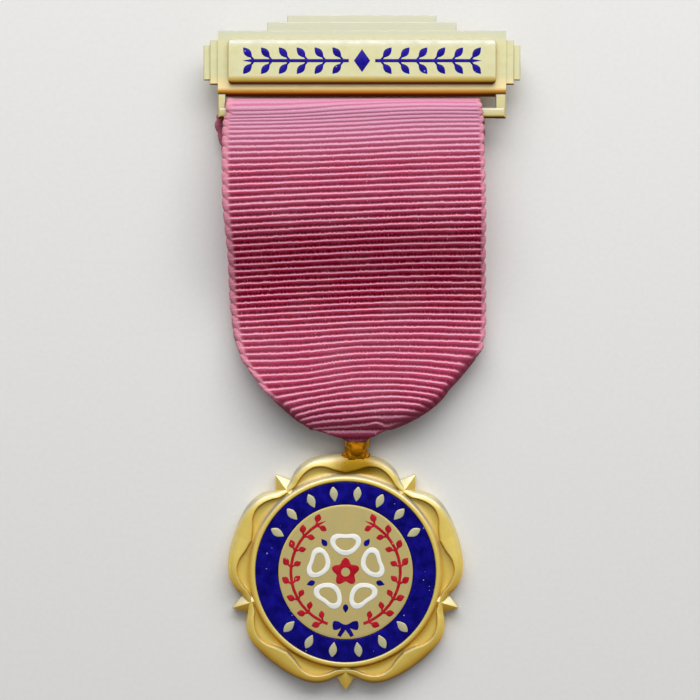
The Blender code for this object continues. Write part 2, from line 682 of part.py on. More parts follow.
def badge_rings():
    """The badge's closed sections from the middle of its face out and round to its back."""
    step = 360 / (PETALS * PETAL_STEPS)
    angles = [90 + (i + 0.5) * step for i in range(PETALS * PETAL_STEPS)]

    def ring(place):
        """One closed section from a rule that gives radius and height at an angle."""
        points = []
        for angle in angles:
            radius, height = place(angle)
            points.append((*polar(radius, angle), height))
        return points

    def fold(angle):
        """The radius of the line where the turned-over edge starts."""
        return POCKET_RADIUS + petal_reading(angle, "fold") * PETAL_WIDTH

    def reach(angle):
        """The radius of the outline."""
        return POCKET_RADIUS + petal_reading(angle, "reach") * PETAL_WIDTH

    def swollen(angle, height):
        """A height over the outline's, less what the notch takes away."""
        return mix(OUTLINE_HEIGHT, height, petal_reading(angle, "swell"))

    return [
        ring(lambda a: (DISC_RADIUS, DISC_FACE)),
        ring(lambda a: (DISC_RADIUS, RING_FLOOR)),
        ring(lambda a: (RING_RADIUS, RING_FLOOR)),
        ring(lambda a: (RING_RADIUS, BADGE_THICK)),
        ring(lambda a: (RIM_RADIUS, BADGE_THICK)),
        ring(lambda a: (POCKET_RADIUS, POCKET_HEIGHT)),
        ring(lambda a: (fold(a), POCKET_HEIGHT)),
        ring(lambda a: (fold(a) + 2 * ENAMEL_GAP, swollen(a, POCKET_HEIGHT + FOLD_STEP))),
        ring(lambda a: (mix(fold(a), reach(a), 0.5), swollen(a, CREST_HEIGHT))),
        ring(lambda a: (reach(a) - CREST_EDGE, swollen(a, mix(OUTLINE_HEIGHT, CREST_HEIGHT,
                                                              0.7)))),
        ring(lambda a: (reach(a), OUTLINE_HEIGHT)),
        ring(lambda a: (reach(a), OUTLINE_HEIGHT / 4)),
        ring(lambda a: (reach(a) - OUTLINE_HEIGHT / 4, 0)),
    ]


def badge_barbs():
    """The pointed sepals in the notches between the petals, each a ridged wedge."""
    root = mix(RING_RADIUS, RIM_RADIUS, 0.8)
    for i in range(PETALS):
        angle = 90 + (i + 0.5) * 360 / PETALS
        turn = Matrix.Rotation(math.radians(angle), 4, "Z")
        work = bmesh.new()
        for along, across, top in BARB_ROWS:
            for side in (1, -1):
                x = mix(root, BARB_REACH, along)
                y = side * across * BARB_HALF_WIDTH
                work.verts.new(turn @ Vector((x, y, top * BADGE_THICK)))
                work.verts.new(turn @ Vector((x, y, BARB_FOOT * BADGE_THICK)))
        bmesh.ops.remove_doubles(work, verts=work.verts, dist=MM / 1000)
        bmesh.ops.convex_hull(work, input=work.verts)
        add_mesh(f"barb_{i + 1}", work, "satin_gilt", BADGE_ADDED)


def eyelet():
    """The small ring on the top petal's edge that holds the link."""
    half = Vector((EYELET_WIDTH / 2, 0, 0))
    middle = Vector((NECK_OFFSET, PETAL_RISE + EYELET_TO_PETAL, LINK_HEIGHT))
    body = rod("eyelet", middle - half, middle + half, EYELET_RADIUS, collection=BADGE_ADDED,
               sides=16)
    hole = rod("eyelet_hole", middle - 2 * half, middle + 2 * half, EYELET_HOLE, sides=12)
    boolean = body.modifiers.new("Hole", "BOOLEAN")
    boolean.operation = "DIFFERENCE"
    boolean.object = hole
    boolean.solver = "EXACT"


def ring_leaf_angles():
    """The angles of the gold leaves in the enamel ring: eight above and six below."""
    upper = [mix(150, 30, i / 7) for i in range(8)]
    lower = [mix(224, 316, i / 5) for i in range(6)]
    return upper + lower


def ring_leaf_outline(angle):
    """A pointed leaf standing across the enamel ring."""
    middle = (DISC_RADIUS + RING_RADIUS) / 2
    length, width = RING_LEAF_SHARE * RING_WIDTH, RING_LEAF_WIDTH_SHARE * RING_WIDTH
    turn = Matrix.Rotation(math.radians(angle), 2)
    points = []
    for along, across in ((-1, 0), (-0.45, -0.8), (0.1, -1), (0.6, -0.65), (1, 0), (0.6, 0.65),
                          (0.1, 1), (-0.45, 0.8)):
        points.append(tuple(turn @ Vector((middle + along * length / 2, across * width / 2))))
    return points


def circle(radius, sides):
    """A circle round the badge's middle."""
    return [polar(radius, 360 * i / sides) for i in range(sides)]


def enamel_ring():
    """The blue ring, with a hole round each gold leaf, and the leaves themselves."""
    holes = []
    for i, angle in enumerate(ring_leaf_angles()):
        flat_solid(f"ring_leaf_{i + 1}", [ring_leaf_outline(angle)],
                   RING_FLOOR - RECESS_DEPTH / 4, BADGE_THICK - DISC_DROP / 2, "satin_gilt",
                   BADGE_ADDED)
        holes.append(grown(ring_leaf_outline(angle), ENAMEL_GAP))
    return flat_solid("enamel_ring", [circle(RING_RADIUS - ENAMEL_GAP, 60),
                                      circle(DISC_RADIUS + ENAMEL_GAP, 48)] + holes,
                      RING_FLOOR + ENAMEL_GAP, DISC_FACE, "blue_enamel")


def rose_petal_outlines(number):
    """A white petal drawn as a broad line: its outer outline and the hole in it."""
    turn = Matrix.Rotation(math.radians(90 + number * 360 / PETALS), 2)
    outlines = []
    for inset, points in ((0, 16), (ROSE_SHARES["stroke"], 12)):
        reach = (ROSE_SHARES["reach"] - inset) * DISC_RADIUS
        half = (ROSE_SHARES["half"] - inset) * DISC_RADIUS
        outline = []
        for i in range(points):
            angle = 2 * math.pi * i / points
            notch = 0.2 * reach * max(0, math.cos(angle)) ** 12
            x = ROSE_SHARES["middle"] * DISC_RADIUS + reach * math.cos(angle) - notch
            y = half * (1 + 0.25 * math.cos(angle)) * math.sin(angle)
            outline.append(tuple(turn @ Vector((x, y))))
        outlines.append(outline)
    return outlines


def rose_heart_outlines():
    """The red middle of the rose, five-lobed, with a hole for the gold boss."""
    lobed = []
    for i in range(40):
        angle = 360 * i / 40
        lobe = 1 + 0.2 * math.cos(math.radians(PETALS * (angle - 90)))
        lobed.append(polar(HEART_SHARES["radius"] * DISC_RADIUS * lobe, angle))
    return [lobed, circle(HEART_SHARES["boss"] * DISC_RADIUS, 12)]


def rose_barb_outlines(number):
    """A blue leaf between two white petals."""
    turn = Matrix.Rotation(math.radians(90 + (number + 0.5) * 360 / PETALS), 2)
    points = []
    for along, across in ((0, 0), (0.4, -0.5), (1, 0), (0.4, 0.5)):
        place = Vector((ROSE_BARB_SHARES["start"] + along * ROSE_BARB_SHARES["length"],
                        across * ROSE_BARB_SHARES["width"]))
        points.append(tuple(turn @ place * DISC_RADIUS))
    return [points]


def wreath_outlines(side):
    """One red branch of the wreath, bent round the rose from the bow up."""
    first, last = 251, 110
    length = math.radians(first - last) * WREATH_RADIUS
    flat = branch(length, 8, *(WREATH_SHARES[name] * DISC_RADIUS
                               for name in ("stem", "leaf", "leaf_width")))
    points = []
    for along, across in flat:
        x, y = polar(WREATH_RADIUS + across, first - math.degrees(along / WREATH_RADIUS))
        points.append((side * x, y))
    return [points]


def bow_outlines():
    """The blue bow that ties the wreath: two loops and two tails round a knot."""
    half = ((0.0, 0.22), (0.28, 0.34), (0.82, 0.62), (1.0, 0.38), (1.0, -0.14), (0.84, -0.36),
            (0.36, -0.16), (0.66, -0.90), (0.40, -1.08), (0.0, -0.34))
    points = []
    for side, rows in ((1, half), (-1, half[-2:0:-1])):
        for across, up in rows:
            points.append((side * across * BOW_SHARES["reach"] * DISC_RADIUS,
                           up * BOW_SHARES["width"] * DISC_RADIUS - WREATH_RADIUS))
    return [points]


def disc_patterns():
    """Each enamel piece of the disc: its name, its finish and its outlines."""
    pieces = [("rose_heart", "red_enamel", rose_heart_outlines())]
    for n in range(PETALS):
        pieces.append((f"rose_petal_{n + 1}", "white_enamel", rose_petal_outlines(n)))
        pieces.append((f"rose_barb_{n + 1}", "blue_enamel", rose_barb_outlines(n)))
    pieces.append(("wreath_left", "red_enamel", wreath_outlines(1)))
    pieces.append(("wreath_right", "red_enamel", wreath_outlines(-1)))
    pieces.append(("wreath_bow", "blue_enamel", bow_outlines()))
    return pieces


def rose_badge():
    """The struck rose in one solid, its recesses and its enamel.

    All of it is modelled round the badge's own middle and put in place at the end.
    """
    before = set(bpy.data.objects)
    badge = loft("rose_badge", badge_rings(), "satin_gilt")
    badge_barbs()
    eyelet()
    enamel_ring()
    join(badge, "UNION", BADGE_ADDED)
    floor = DISC_FACE - DISC_FILL_DEPTH
    for name, material, outlines in disc_patterns():
        flat_solid(name + "_recess", recess(outlines), floor - ENAMEL_GAP,
                   BADGE_THICK + RECESS_DEPTH, "satin_gilt", BADGE_CUT)
        flat_solid(name, outlines, floor, DISC_FACE, material)
    join(badge, "DIFFERENCE", BADGE_CUT)
    for obj in set(bpy.data.objects) - before:
        obj.location = (BADGE_SHIFT, BADGE_Y, 0)
    return badge


def ribbon_link():
    """The wire link through the ribbon's fold and the eyelet, narrower at the eyelet."""
    top = TIP_WIDTH / 2 + CLEARANCE + LINK_WIRE / 2
    foot = EYELET_WIDTH / 2 + CLEARANCE + LINK_WIRE / 2
    knee = LINK_Y - LINK_WRAP - RIBBON_THICK / 2
    corners = [Vector(p) for p in ((-top, LINK_Y), (top, LINK_Y), (top, knee),
                                   (foot, EYELET_Y), (-foot, EYELET_Y), (-top, knee))]
    points = []
    for i, corner in enumerate(corners):
        before = (corners[i - 1] - corner).normalized() * LINK_CORNER
        after = (corners[(i + 1) % len(corners)] - corner).normalized() * LINK_CORNER
        for share in (0.0, 0.5, 1.0):
            near = corner + before * (1 - share)
            far = corner + after * share
            points.append(near.lerp(far, share))
    curve = bpy.data.curves.new("ribbon_link", "CURVE")
    curve.dimensions = "3D"
    curve.bevel_depth = LINK_WIRE / 2
    curve.bevel_resolution = 1
    spline = curve.splines.new("POLY")
    spline.points.add(len(points) - 1)
    spline.use_cyclic_u = True
    for point, place in zip(spline.points, points):
        point.co = (NECK_SHIFT + place.x, place.y, LINK_HEIGHT, 1)
    link = bpy.data.objects.new("ribbon_link", curve)
    PARTS.objects.link(link)
    link.data.materials.append(finish("bright_gilt"))
    return link


def bar_enamel():
    """The blue pieces in the bar's panel."""
    for name, outlines in bar_patterns():
        flat_solid(name, outlines, PANEL_FACE - BAR_FILL_DEPTH, PANEL_FACE, "blue_enamel")


brooch_bar()
brooch_pin()
bar_enamel()
ribbon()
ribbon_link()
rose_badge()
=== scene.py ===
"""Ribbon medallion: a gilt brooch bar, a ribbed ribbon and an enamelled rose badge.

Run it in Blender as a script. Each operator makes one piece or one group of like pieces over
the packed model, and the panel in the 3D view's sidebar lists them. Metres, with +X to the
right of the face, +Y towards the bar and +Z out of the face. The medallion lies on its back.
"""

import math

import bmesh
import bpy
import numpy as np
from mathutils import Matrix, Vector


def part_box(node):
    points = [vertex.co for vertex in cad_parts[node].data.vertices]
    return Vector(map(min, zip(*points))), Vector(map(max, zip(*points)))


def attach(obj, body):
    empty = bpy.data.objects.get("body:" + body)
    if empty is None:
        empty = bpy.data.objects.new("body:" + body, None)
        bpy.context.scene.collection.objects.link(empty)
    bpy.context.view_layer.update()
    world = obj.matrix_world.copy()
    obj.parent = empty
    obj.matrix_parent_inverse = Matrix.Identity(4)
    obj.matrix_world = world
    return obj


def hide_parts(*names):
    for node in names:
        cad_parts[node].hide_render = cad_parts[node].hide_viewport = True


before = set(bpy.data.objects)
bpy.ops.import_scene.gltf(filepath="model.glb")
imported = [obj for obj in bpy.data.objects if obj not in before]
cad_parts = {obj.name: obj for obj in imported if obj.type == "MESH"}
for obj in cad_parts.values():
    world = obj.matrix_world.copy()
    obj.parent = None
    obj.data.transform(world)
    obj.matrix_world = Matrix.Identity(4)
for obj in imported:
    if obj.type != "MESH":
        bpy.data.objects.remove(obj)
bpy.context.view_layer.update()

bl_info = {
    "name": "Ribbon Medallion",
    "version": (1, 0, 0),
    "blender": (4, 5, 0),
    "location": "3D View > Sidebar > Medallion",
    "description": "Gilt brooch bar, ribbed ribbon and enamelled rose badge",
    "category": "Object",
}

MM = 0.001
BAR_LOW, BAR_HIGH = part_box("brooch_bar")
LINK_LOW, LINK_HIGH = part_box("ribbon_link")
PIN_LOW, PIN_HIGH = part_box("brooch_pin")
PANEL_ENAMEL_LOW, PANEL_ENAMEL_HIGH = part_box("bar_lozenge")
RING_LOW, RING_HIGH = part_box("enamel_ring")

# Places that the pieces share
PLATE_HEAD = BAR_HIGH.y - 2.38 * MM
PLATE_FOOT = PLATE_HEAD - 9.5 * MM
EAR_REACH = 2.15 * MM
PLATE_HALF = BAR_HIGH.x - EAR_REACH
PANEL_Y = (PANEL_ENAMEL_LOW.y + PANEL_ENAMEL_HIGH.y) / 2
PANEL_HALF = 3.3 * MM
BAR_FACE = BAR_HIGH.z - 1.0 * MM
BAR_BACK = BAR_FACE - 1.2 * MM
RAIL_FOOT = BAR_LOW.y
RAIL_HEIGHT = 1.5 * MM
RAIL_MIDDLE = (BAR_BACK + BAR_FACE) / 2
DISC_FACE = RING_HIGH.z
BADGE_CENTRE = Vector(((RING_LOW.x + RING_HIGH.x) / 2, (RING_LOW.y + RING_HIGH.y) / 2, 0))
NECK_X = (LINK_LOW.x + LINK_HIGH.x) / 2
LINK_WIRE = 0.75 * MM
LINK_HEIGHT = (LINK_LOW.z + LINK_HIGH.z) / 2
LINK_TOP = LINK_HIGH.y - LINK_WIRE / 2
LINK_FOOT = LINK_LOW.y + LINK_WIRE / 2
PIN_HEIGHT = (PIN_LOW.z + PIN_HIGH.z) / 2

# Radii of the ribbon's middle surface in its bends, and the slot's left end
RAIL_BEND = 1.5 * MM
LINK_BEND = 1.175 * MM
SLOT_LEFT = -19.8 * MM

# The badge's petals and radii
PETALS = 5
DISC_RADIUS = 9.85 * MM
RING_INNER = 9.9 * MM
RING_OUTER = 13.28 * MM
POCKET_RADIUS = 14.3 * MM

# The ribbon's front run from the rail (0) to the link (1). lift is a share of the wave above a
# straight run, left and right the edges' places from the tip (0) to the full width (1), and the
# hang columns how far the ribs hang below their middles, as shares of the rib hang.
FRONT_COLUMNS = ("along", "lift", "left", "right", "hang_left", "hang_near_left",
                 "hang_near_right", "hang_right")
FRONT_ROWS = (
    (0.000, 0.00, 0.969, 0.976, 0.54, 0.39, -0.25, -0.22),
    (0.035, 0.05, 0.993, 0.983, 0.39, 0.27, -0.33, -0.37),
    (0.112, 0.38, 0.999, 0.986, 0.37, 0.23, -0.31, -0.47),
    (0.200, 0.78, 0.998, 0.990, 0.51, 0.26, -0.25, -0.44),
    (0.285, 1.00, 0.995, 0.995, 0.58, 0.25, -0.24, -0.41),
    (0.360, 0.86, 0.980, 0.998, 0.64, 0.29, -0.23, -0.37),
    (0.436, 0.36, 0.963, 1.000, 0.63, 0.30, -0.22, -0.31),
    (0.520, -0.28, 0.957, 1.008, 0.61, 0.27, -0.21, -0.23),
    (0.600, -0.62, 0.951, 1.014, 0.67, 0.31, -0.17, -0.15),
    (0.670, -0.58, 0.928, 1.012, 0.67, 0.36, -0.15, 0.00),
    (0.739, -0.28, 0.892, 0.990, 0.74, 0.50, -0.02, 0.20),
    (0.762, -0.12, 0.874, 0.962, 0.76, 0.58, 0.00, 0.33),
    (0.789, 0.04, 0.844, 0.915, 0.85, 0.68, 0.04, 0.50),
    (0.845, 0.43, 0.742, 0.792, 1.12, 0.64, 0.02, 0.55),
    (0.877, 0.60, 0.683, 0.712, 1.20, 0.54, -0.08, 0.45),
    (0.908, 0.70, 0.605, 0.650, 1.20, 0.44, -0.20, 0.30),
    (0.940, 0.70, 0.520, 0.555, 0.90, 0.30, -0.24, 0.05),
    (0.971, 0.50, 0.430, 0.425, 0.50, 0.22, -0.24, -0.20),
    (0.986, 0.30, 0.365, 0.330, 0.34, 0.16, -0.22, -0.28),
    (1.000, 0.00, 0.315, 0.225, 0.00, 0.00, 0.00, 0.00),
)

# The ribbon's back run from the link (0) to the rail (1). rise is the share of the climb.
BACK_COLUMNS = ("along", "rise", "left", "right")
BACK_ROWS = (
    (0.000, 0.00, 0.315, 0.225),
    (0.060, 0.00, 0.440, 0.440),
    (0.160, 0.00, 0.720, 0.760),
    (0.260, 0.00, 0.900, 0.985),
    (0.400, 0.00, 0.950, 1.000),
    (0.560, 0.02, 0.960, 1.000),
    (0.720, 0.20, 0.990, 1.000),
    (0.860, 0.58, 1.010, 1.000),
    (0.925, 0.80, 1.045, 1.005),
    (0.965, 0.93, 1.070, 1.005),
    (1.000, 1.00, 1.050, 0.985),
)

# How the ribbon narrows round the link, from the front's last row to the back's first: turn is
# a share of the bend, width a share from the tip's width to the width beside the link.
LINK_COLUMNS = ("turn", "width")
LINK_ROWS = (
    (0.00, 1.00), (0.06, 0.80), (0.12, 0.58), (0.24, 0.28), (0.33, 0.12), (0.42, 0.00),
    (0.60, 0.00), (0.85, 0.35), (1.00, 1.00),
)

# Half a petal from its middle (0) to the notch beside it (1). reach and fold are shares of the
# petal's width beyond the rim, swell the share of the crest's height that is left.
PETAL_COLUMNS = ("turn", "reach", "fold", "swell")
PETAL_ROWS = (
    (0.00, 1.000, 0.067, 1.00),
    (0.17, 1.011, 0.215, 1.00),
    (0.33, 1.017, 0.460, 1.00),
    (0.48, 1.000, 0.545, 1.00),
    (0.62, 0.909, 0.443, 0.95),
    (0.75, 0.710, 0.249, 0.85),
    (0.85, 0.488, 0.078, 0.70),
    (1.00, 0.272, 0.044, 0.55),
)

# The turned-over edge of a petal from its fold line (0) to the outline (1): rise is a share of
# the height between the outline and the crest.
EDGE_COLUMNS = ("across", "rise")
EDGE_ROWS = (
    (0.00, 0.50), (0.03, 0.78), (0.06, 0.95), (0.11, 1.00), (0.25, 0.98), (0.42, 0.94),
    (0.57, 0.88), (0.70, 0.79), (0.81, 0.67), (0.90, 0.49), (0.96, 0.27), (1.00, 0.00),
)

# The badge's face inside the petals: radius and height in millimetres and how much patina
# settles there.
FACE_ROWS = (
    (9.50, 2.70, 0.0),
    (9.78, 2.70, 0.0),
    (9.85, 2.68, 0.1),
    (9.89, 2.62, 0.6),
    (9.89, 2.30, 1.0),
    (13.29, 2.30, 1.0),
    (13.29, 2.66, 0.8),
    (13.32, 2.75, 0.2),
    (13.39, 2.80, 0.0),
    (13.50, 2.82, 0.0),
    (13.70, 2.82, 0.0),
    (13.88, 2.78, 0.0),
    (14.02, 2.66, 0.0),
    (14.12, 2.48, 0.0),
    (14.20, 2.28, 0.3),
    (14.27, 2.15, 0.6),
    (14.34, 2.08, 0.7),
)


# Settings


def length(name, text, millimetres):
    """A length that can be changed in the panel."""
    return bpy.props.FloatProperty(name=name, description=text, default=millimetres * MM,
                                   subtype="DISTANCE", unit="LENGTH", precision=5, min=0.0)


def share(name, text, value):
    """A number between nothing and one."""
    return bpy.props.FloatProperty(name=name, description=text, default=value, min=0.0, max=1.0,
                                   subtype="FACTOR")


def colour(name, text, value):
    """A colour that can be changed in the panel."""
    return bpy.props.FloatVectorProperty(name=name, description=text, default=value, size=3,
                                         min=0.0, max=1.0, subtype="COLOR")


class MedallionBarSettings(bpy.types.PropertyGroup):
    """Sizes of the brooch bar and its pin."""

    panel_round: length("Panel rounding", "Width of the slope along the panel's edges", 1.1)
    plate_round: length("Plate rounding", "Radius of the plate's lower edge", 0.95)
    step_round: length("Step rounding", "Radius of the steps' and ears' edges", 0.12)
    pin_wire: length("Pin wire", "Thickness of the needle behind the bar", 0.9)


class MedallionRibbonSettings(bpy.types.PropertyGroup):
    """Sizes of the ribbon."""

    width: length("Width", "Width of the ribbon from edge to edge", 38.2)
    drop: length("Drop", "Distance from the middle of the rail's bend to the link", 46.4)
    thick: length("Thickness", "Thickness of the cloth over its ribs", 0.9)
    wave: length("Wave", "Height of the slack wave in the front", 2.1)
    rib_depth: length("Rib depth", "Depth of the grooves between the ribs", 0.24)
    rib_hang: length("Rib hang", "How far the ribs' ends hang below their middles", 1.5)
    slack: length("Slack", "How far the tip hangs below the link's wire", 0.65)
    scallop: length("Scallop", "How far the edge's loops stand out", 0.42)
    edge_band: length("Edge band", "Width of the looped band along each edge", 0.9)
    crowding: share("Crowding", "How much closer the ribs lie just below the rail", 0.44)


class MedallionBadgeSettings(bpy.types.PropertyGroup):
    """Sizes of the rose badge."""

    crest: length("Crest", "Height of the petals' turned-over edges", 2.72)
    outline: length("Outline", "Height of the petals' outline", 1.2)
    pocket: length("Pocket", "Height of the hollow inside each petal", 2.05)
    petal_width: length("Petal width", "Width of a petal beyond the rim", 3.05)
    enamel_proud: length("Enamel rise", "How far the enamel stands over the disc", 0.05)
    enamel_edge: length("Enamel edge", "Width of the dark rounded edge round each enamel", 0.09)


class MedallionFinishSettings(bpy.types.PropertyGroup):
    """Colours of the metal, the ribbon and the enamels."""

    bar_gilt: colour("Bar gilt", "Satin gilt of the bar", (0.74, 0.72, 0.45))
    gilt: colour("Gilt", "Struck gilt of the petals", (0.96, 0.75, 0.19))
    disc_gilt: colour("Disc gilt", "Matt gilt of the disc", (0.76, 0.63, 0.27))
    wire_gilt: colour("Wire gilt", "Polished gilt wire", (0.72, 0.42, 0.07))
    solder: colour("Solder", "Stained solder at the neck", (0.38, 0.155, 0.004))
    patina: colour("Patina", "Brown that settles in the hollows", (0.50, 0.25, 0.015))
    # Painted highlight: the colour of the lit line painted along each rib.
    rib_highlight: colour("Painted rib highlight", "Lit line along each rib", (0.66, 0.31, 0.44))
    yarn: colour("Yarn", "Body of each rib", (0.39, 0.005, 0.036))
    # Painted shade down each rib's lower side to the groove, and the yarn's dark flecks.
    yarn_dark_and_shade: colour("Dark yarn", "Grooves between the ribs", (0.115, 0.0005, 0.005))
    blue: colour("Blue enamel", "Deep blue enamel", (0.001, 0.0005, 0.11))
    red: colour("Red enamel", "Translucent red enamel", (0.40, 0.006, 0.016))
    white: colour("White enamel", "Opaque white enamel", (0.86, 0.85, 0.79))


class MedallionStageSettings(bpy.types.PropertyGroup):
    """The floor, lights and camera."""

    camera_height: length("Camera height", "Height of the camera above the floor", 260.0)
    lens: bpy.props.FloatProperty(name="Lens", description="Focal length in millimetres",
                                  default=90.0, min=10.0)
    floor: colour("Floor", "Pale floor", (0.78, 0.77, 0.75))
    key_power: bpy.props.FloatProperty(name="Key light", description="Power of the large soft "
                                       "light beyond the bar", default=5.74, unit="POWER")
    top_power: bpy.props.FloatProperty(name="Top light", description="Power of the soft light "
                                       "overhead", default=0.42, unit="POWER")
    fill: share("Sky", "Strength of the even light from all round", 0.27)


# Tables


def join_up(t, start, end, leaving, arriving):
    """A smooth curve from start to end, as t goes from 0 to 1, with a slope at each end."""
    return ((2 * t ** 3 - 3 * t ** 2 + 1) * start + (t ** 3 - 2 * t ** 2 + t) * leaving
            + (3 * t ** 2 - 2 * t ** 3) * end + (t ** 3 - t ** 2) * arriving)


def read(columns, rows, column, places):
    """Smooth readings of one column of a table at places along its first column."""
    table = np.array(rows, dtype=float)
    marks, values = table[:, 0], table[:, columns.index(column)]
    low = np.maximum(np.arange(len(marks)) - 1, 0)
    high = np.minimum(np.arange(len(marks)) + 1, len(marks) - 1)
    slopes = (values[high] - values[low]) / (marks[high] - marks[low])
    places = np.clip(places, marks[0], marks[-1])
    i = np.clip(np.searchsorted(marks, places, side="right") - 1, 0, len(marks) - 2)
    gap = marks[i + 1] - marks[i]
    return join_up((places - marks[i]) / gap, values[i], values[i + 1], gap * slopes[i],
                   gap * slopes[i + 1])


def mix(start, end, part):
    """The value a part of the way from start to end."""
    return start + (end - start) * part


def ease(value, low, high):
    """A smooth step from 0 at low to 1 at high."""
    t = np.clip((value - low) / (high - low), 0, 1)
    return t * t * (3 - 2 * t)


def polar(radius, degrees, centre=BADGE_CENTRE):
    """The point at a radius and an angle in degrees round a centre."""
    turn = math.radians(degrees)
    return centre.x + radius * math.cos(turn), centre.y + radius * math.sin(turn)


# Modelling


def deselect():
    """Leave edit mode and deselect every object."""
    if bpy.context.object and bpy.context.object.mode != "OBJECT":
        bpy.ops.object.mode_set(mode="OBJECT")
    bpy.ops.object.select_all(action="DESELECT")


def activate(piece):
    """Make a piece the only selected object and the active one."""
    deselect()
    piece.select_set(True)
    bpy.context.view_layer.objects.active = piece


def apply_place(piece):
    """Move a piece's place, turn and scale into its mesh."""
    activate(piece)
    bpy.ops.object.transform_apply(location=True, rotation=True, scale=True)


def edit(piece, mode="VERT"):
    """Open a piece in edit mode with nothing selected and return its mesh."""
    activate(piece)
    bpy.ops.object.mode_set(mode="EDIT")
    bpy.ops.mesh.select_mode(type=mode)
    bpy.ops.mesh.select_all(action="DESELECT")
    return bmesh.from_edit_mesh(piece.data)


def close_up(piece):
    """Merge doubles, turn the faces outwards and leave edit mode."""
    bpy.ops.mesh.select_all(action="SELECT")
    bpy.ops.mesh.remove_doubles(threshold=0.000001)
    bpy.ops.mesh.normals_make_consistent(inside=False)
    bpy.ops.mesh.select_all(action="DESELECT")
    bpy.ops.object.mode_set(mode="OBJECT")
    return piece


def round_edges(piece, pick, width, segments=4):
    """Round the edges that pick chooses."""
    work = edit(piece, "EDGE")
    for edge in work.edges:
        if pick(edge):
            edge.select_set(True)
    bmesh.update_edit_mesh(piece.data)
    bpy.ops.mesh.bevel(offset=width, segments=segments, profile=0.5, affect="EDGES")
    bpy.ops.object.mode_set(mode="OBJECT")


def box(name, low, high, front=0.0, corners=0.0, segments=4):
    """A box between two corners, with rounded front edges and upright corners."""
    low, high = Vector(low), Vector(high)
    deselect()
    bpy.ops.mesh.primitive_cube_add(size=1, location=(low + high) / 2, scale=high - low)
    piece = bpy.context.object
    piece.name = name
    apply_place(piece)
    if corners:
        round_edges(piece, lambda e: abs(e.verts[0].co.z - e.verts[1].co.z) > 0.1 * MM, corners,
                    segments)
    if front:
        top = high.z - 0.001 * MM
        round_edges(piece, lambda e: all(v.co.z > top for v in e.verts), front, segments)
    return piece


def rod(name, start, end, radius):
    """A round bar between two points."""
    start, end = Vector(start), Vector(end)
    turn = (end - start).to_track_quat("Z", "Y").to_euler()
    deselect()
    bpy.ops.mesh.primitive_cylinder_add(vertices=32, radius=radius, depth=(end - start).length,
                                        location=(start + end) / 2, rotation=turn)
    piece = bpy.context.object
    piece.name = name
    apply_place(piece)
    return piece


def combine(target, tools):
    """Join a piece with others into one body. The others are used up."""
    for tool in tools:
        boolean = target.modifiers.new("Union", "BOOLEAN")
        boolean.operation = "UNION"
        boolean.solver = "EXACT"
        boolean.object = tool
        activate(target)
        bpy.ops.object.modifier_apply(modifier=boolean.name)
        bpy.data.objects.remove(tool)
    return target


def join(name, pieces):
    """Put several pieces into one object."""
    activate(pieces[0])
    for piece in pieces:
        piece.select_set(True)
    if len(pieces) > 1:
        bpy.ops.object.join()
    pieces[0].name = name
    return pieces[0]


def smooth(piece, degrees=30.0):
    """Shade a piece smooth up to an angle between faces."""
    activate(piece)
    bpy.ops.object.shade_smooth_by_angle(angle=math.radians(degrees))
    return piece


def flatten(piece):
    """Keep broad faces flat and leave the shading to the rounded edges between them."""
    weigh = piece.modifiers.new("Weigh", "WEIGHTED_NORMAL")
    weigh.weight = 100
    weigh.keep_sharp = True
    activate(piece)
    bpy.ops.object.modifier_apply(modifier=weigh.name)
    return piece


def copies_round(piece, count, name):
    """Copies of a piece turned evenly round the badge's middle, joined in one object."""
    made = [piece]
    for i in range(1, count):
        copy = piece.copy()
        copy.data = piece.data.copy()
        bpy.context.scene.collection.objects.link(copy)
        turn = Matrix.Rotation(2 * math.pi * i / count, 4, "Z")
        place = Matrix.Translation(BADGE_CENTRE)
        copy.data.transform(place @ turn @ place.inverted())
        made.append(copy)
    return join(name, made)


def curve_piece(name, splines, **shape):
    """A closed curve through points, made a mesh."""
    curve = bpy.data.curves.new(name, "CURVE")
    for key, value in shape.items():
        setattr(curve, key, value)
    for points in splines:
        spline = curve.splines.new("POLY")
        spline.points.add(len(points) - 1)
        spline.use_cyclic_u = True
        for point, place in zip(spline.points, points):
            point.co = (*place, 1) if len(place) == 3 else (*place, 0, 1)
    piece = bpy.data.objects.new(name, curve)
    bpy.context.scene.collection.objects.link(piece)
    activate(piece)
    bpy.ops.object.convert(target="MESH")
    piece = bpy.context.object
    edit(piece)
    return close_up(piece)


def inlay(name, shapes, low, high, edge):
    """Flat pieces with rounded dark edges, one for each shape of an outline and its holes."""
    made = []
    for outlines in shapes:
        piece = curve_piece(name, outlines, dimensions="2D", fill_mode="BOTH",
                            extrude=(high - low) / 2 - edge, bevel_depth=edge,
                            bevel_resolution=2, offset=-edge)
        piece.data.transform(Matrix.Translation((0, 0, (low + high) / 2)))
        made.append(piece)
    piece = join(name, made)
    rim = piece.data.attributes.new("rim", "FLOAT", "POINT")
    for vertex, value in zip(piece.data.vertices, rim.data):
        value.value = min(1.0, max(0.0, (high - vertex.co.z) / edge))
    return smooth(piece, 50)


def finish_piece(piece, material, slot, *nodes):
    """Give a piece its material and put it in place of the plain nodes. slot is not used."""
    piece.data.materials.clear()
    piece.data.materials.append(material)
    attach(piece, "root")
    if nodes:
        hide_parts(*nodes)


# Materials


def feed(tree, node, inputs):
    """Set each named input of a node, or link it to another node's output."""
    for key, value in inputs.items():
        if isinstance(value, bpy.types.NodeSocket):
            tree.links.new(value, node.inputs[key])
        else:
            node.inputs[key].default_value = value
    return node


def add(tree, kind, inputs=None, **settings):
    """A node with its settings and inputs."""
    made = tree.nodes.new(kind)
    for key, value in settings.items():
        setattr(made, key, value)
    return feed(tree, made, inputs or {})


def calculate(tree, operation, *values, clamp=False):
    """The output of one Math node."""
    inputs = dict(enumerate(values))
    return add(tree, "ShaderNodeMath", inputs, operation=operation, use_clamp=clamp).outputs[0]


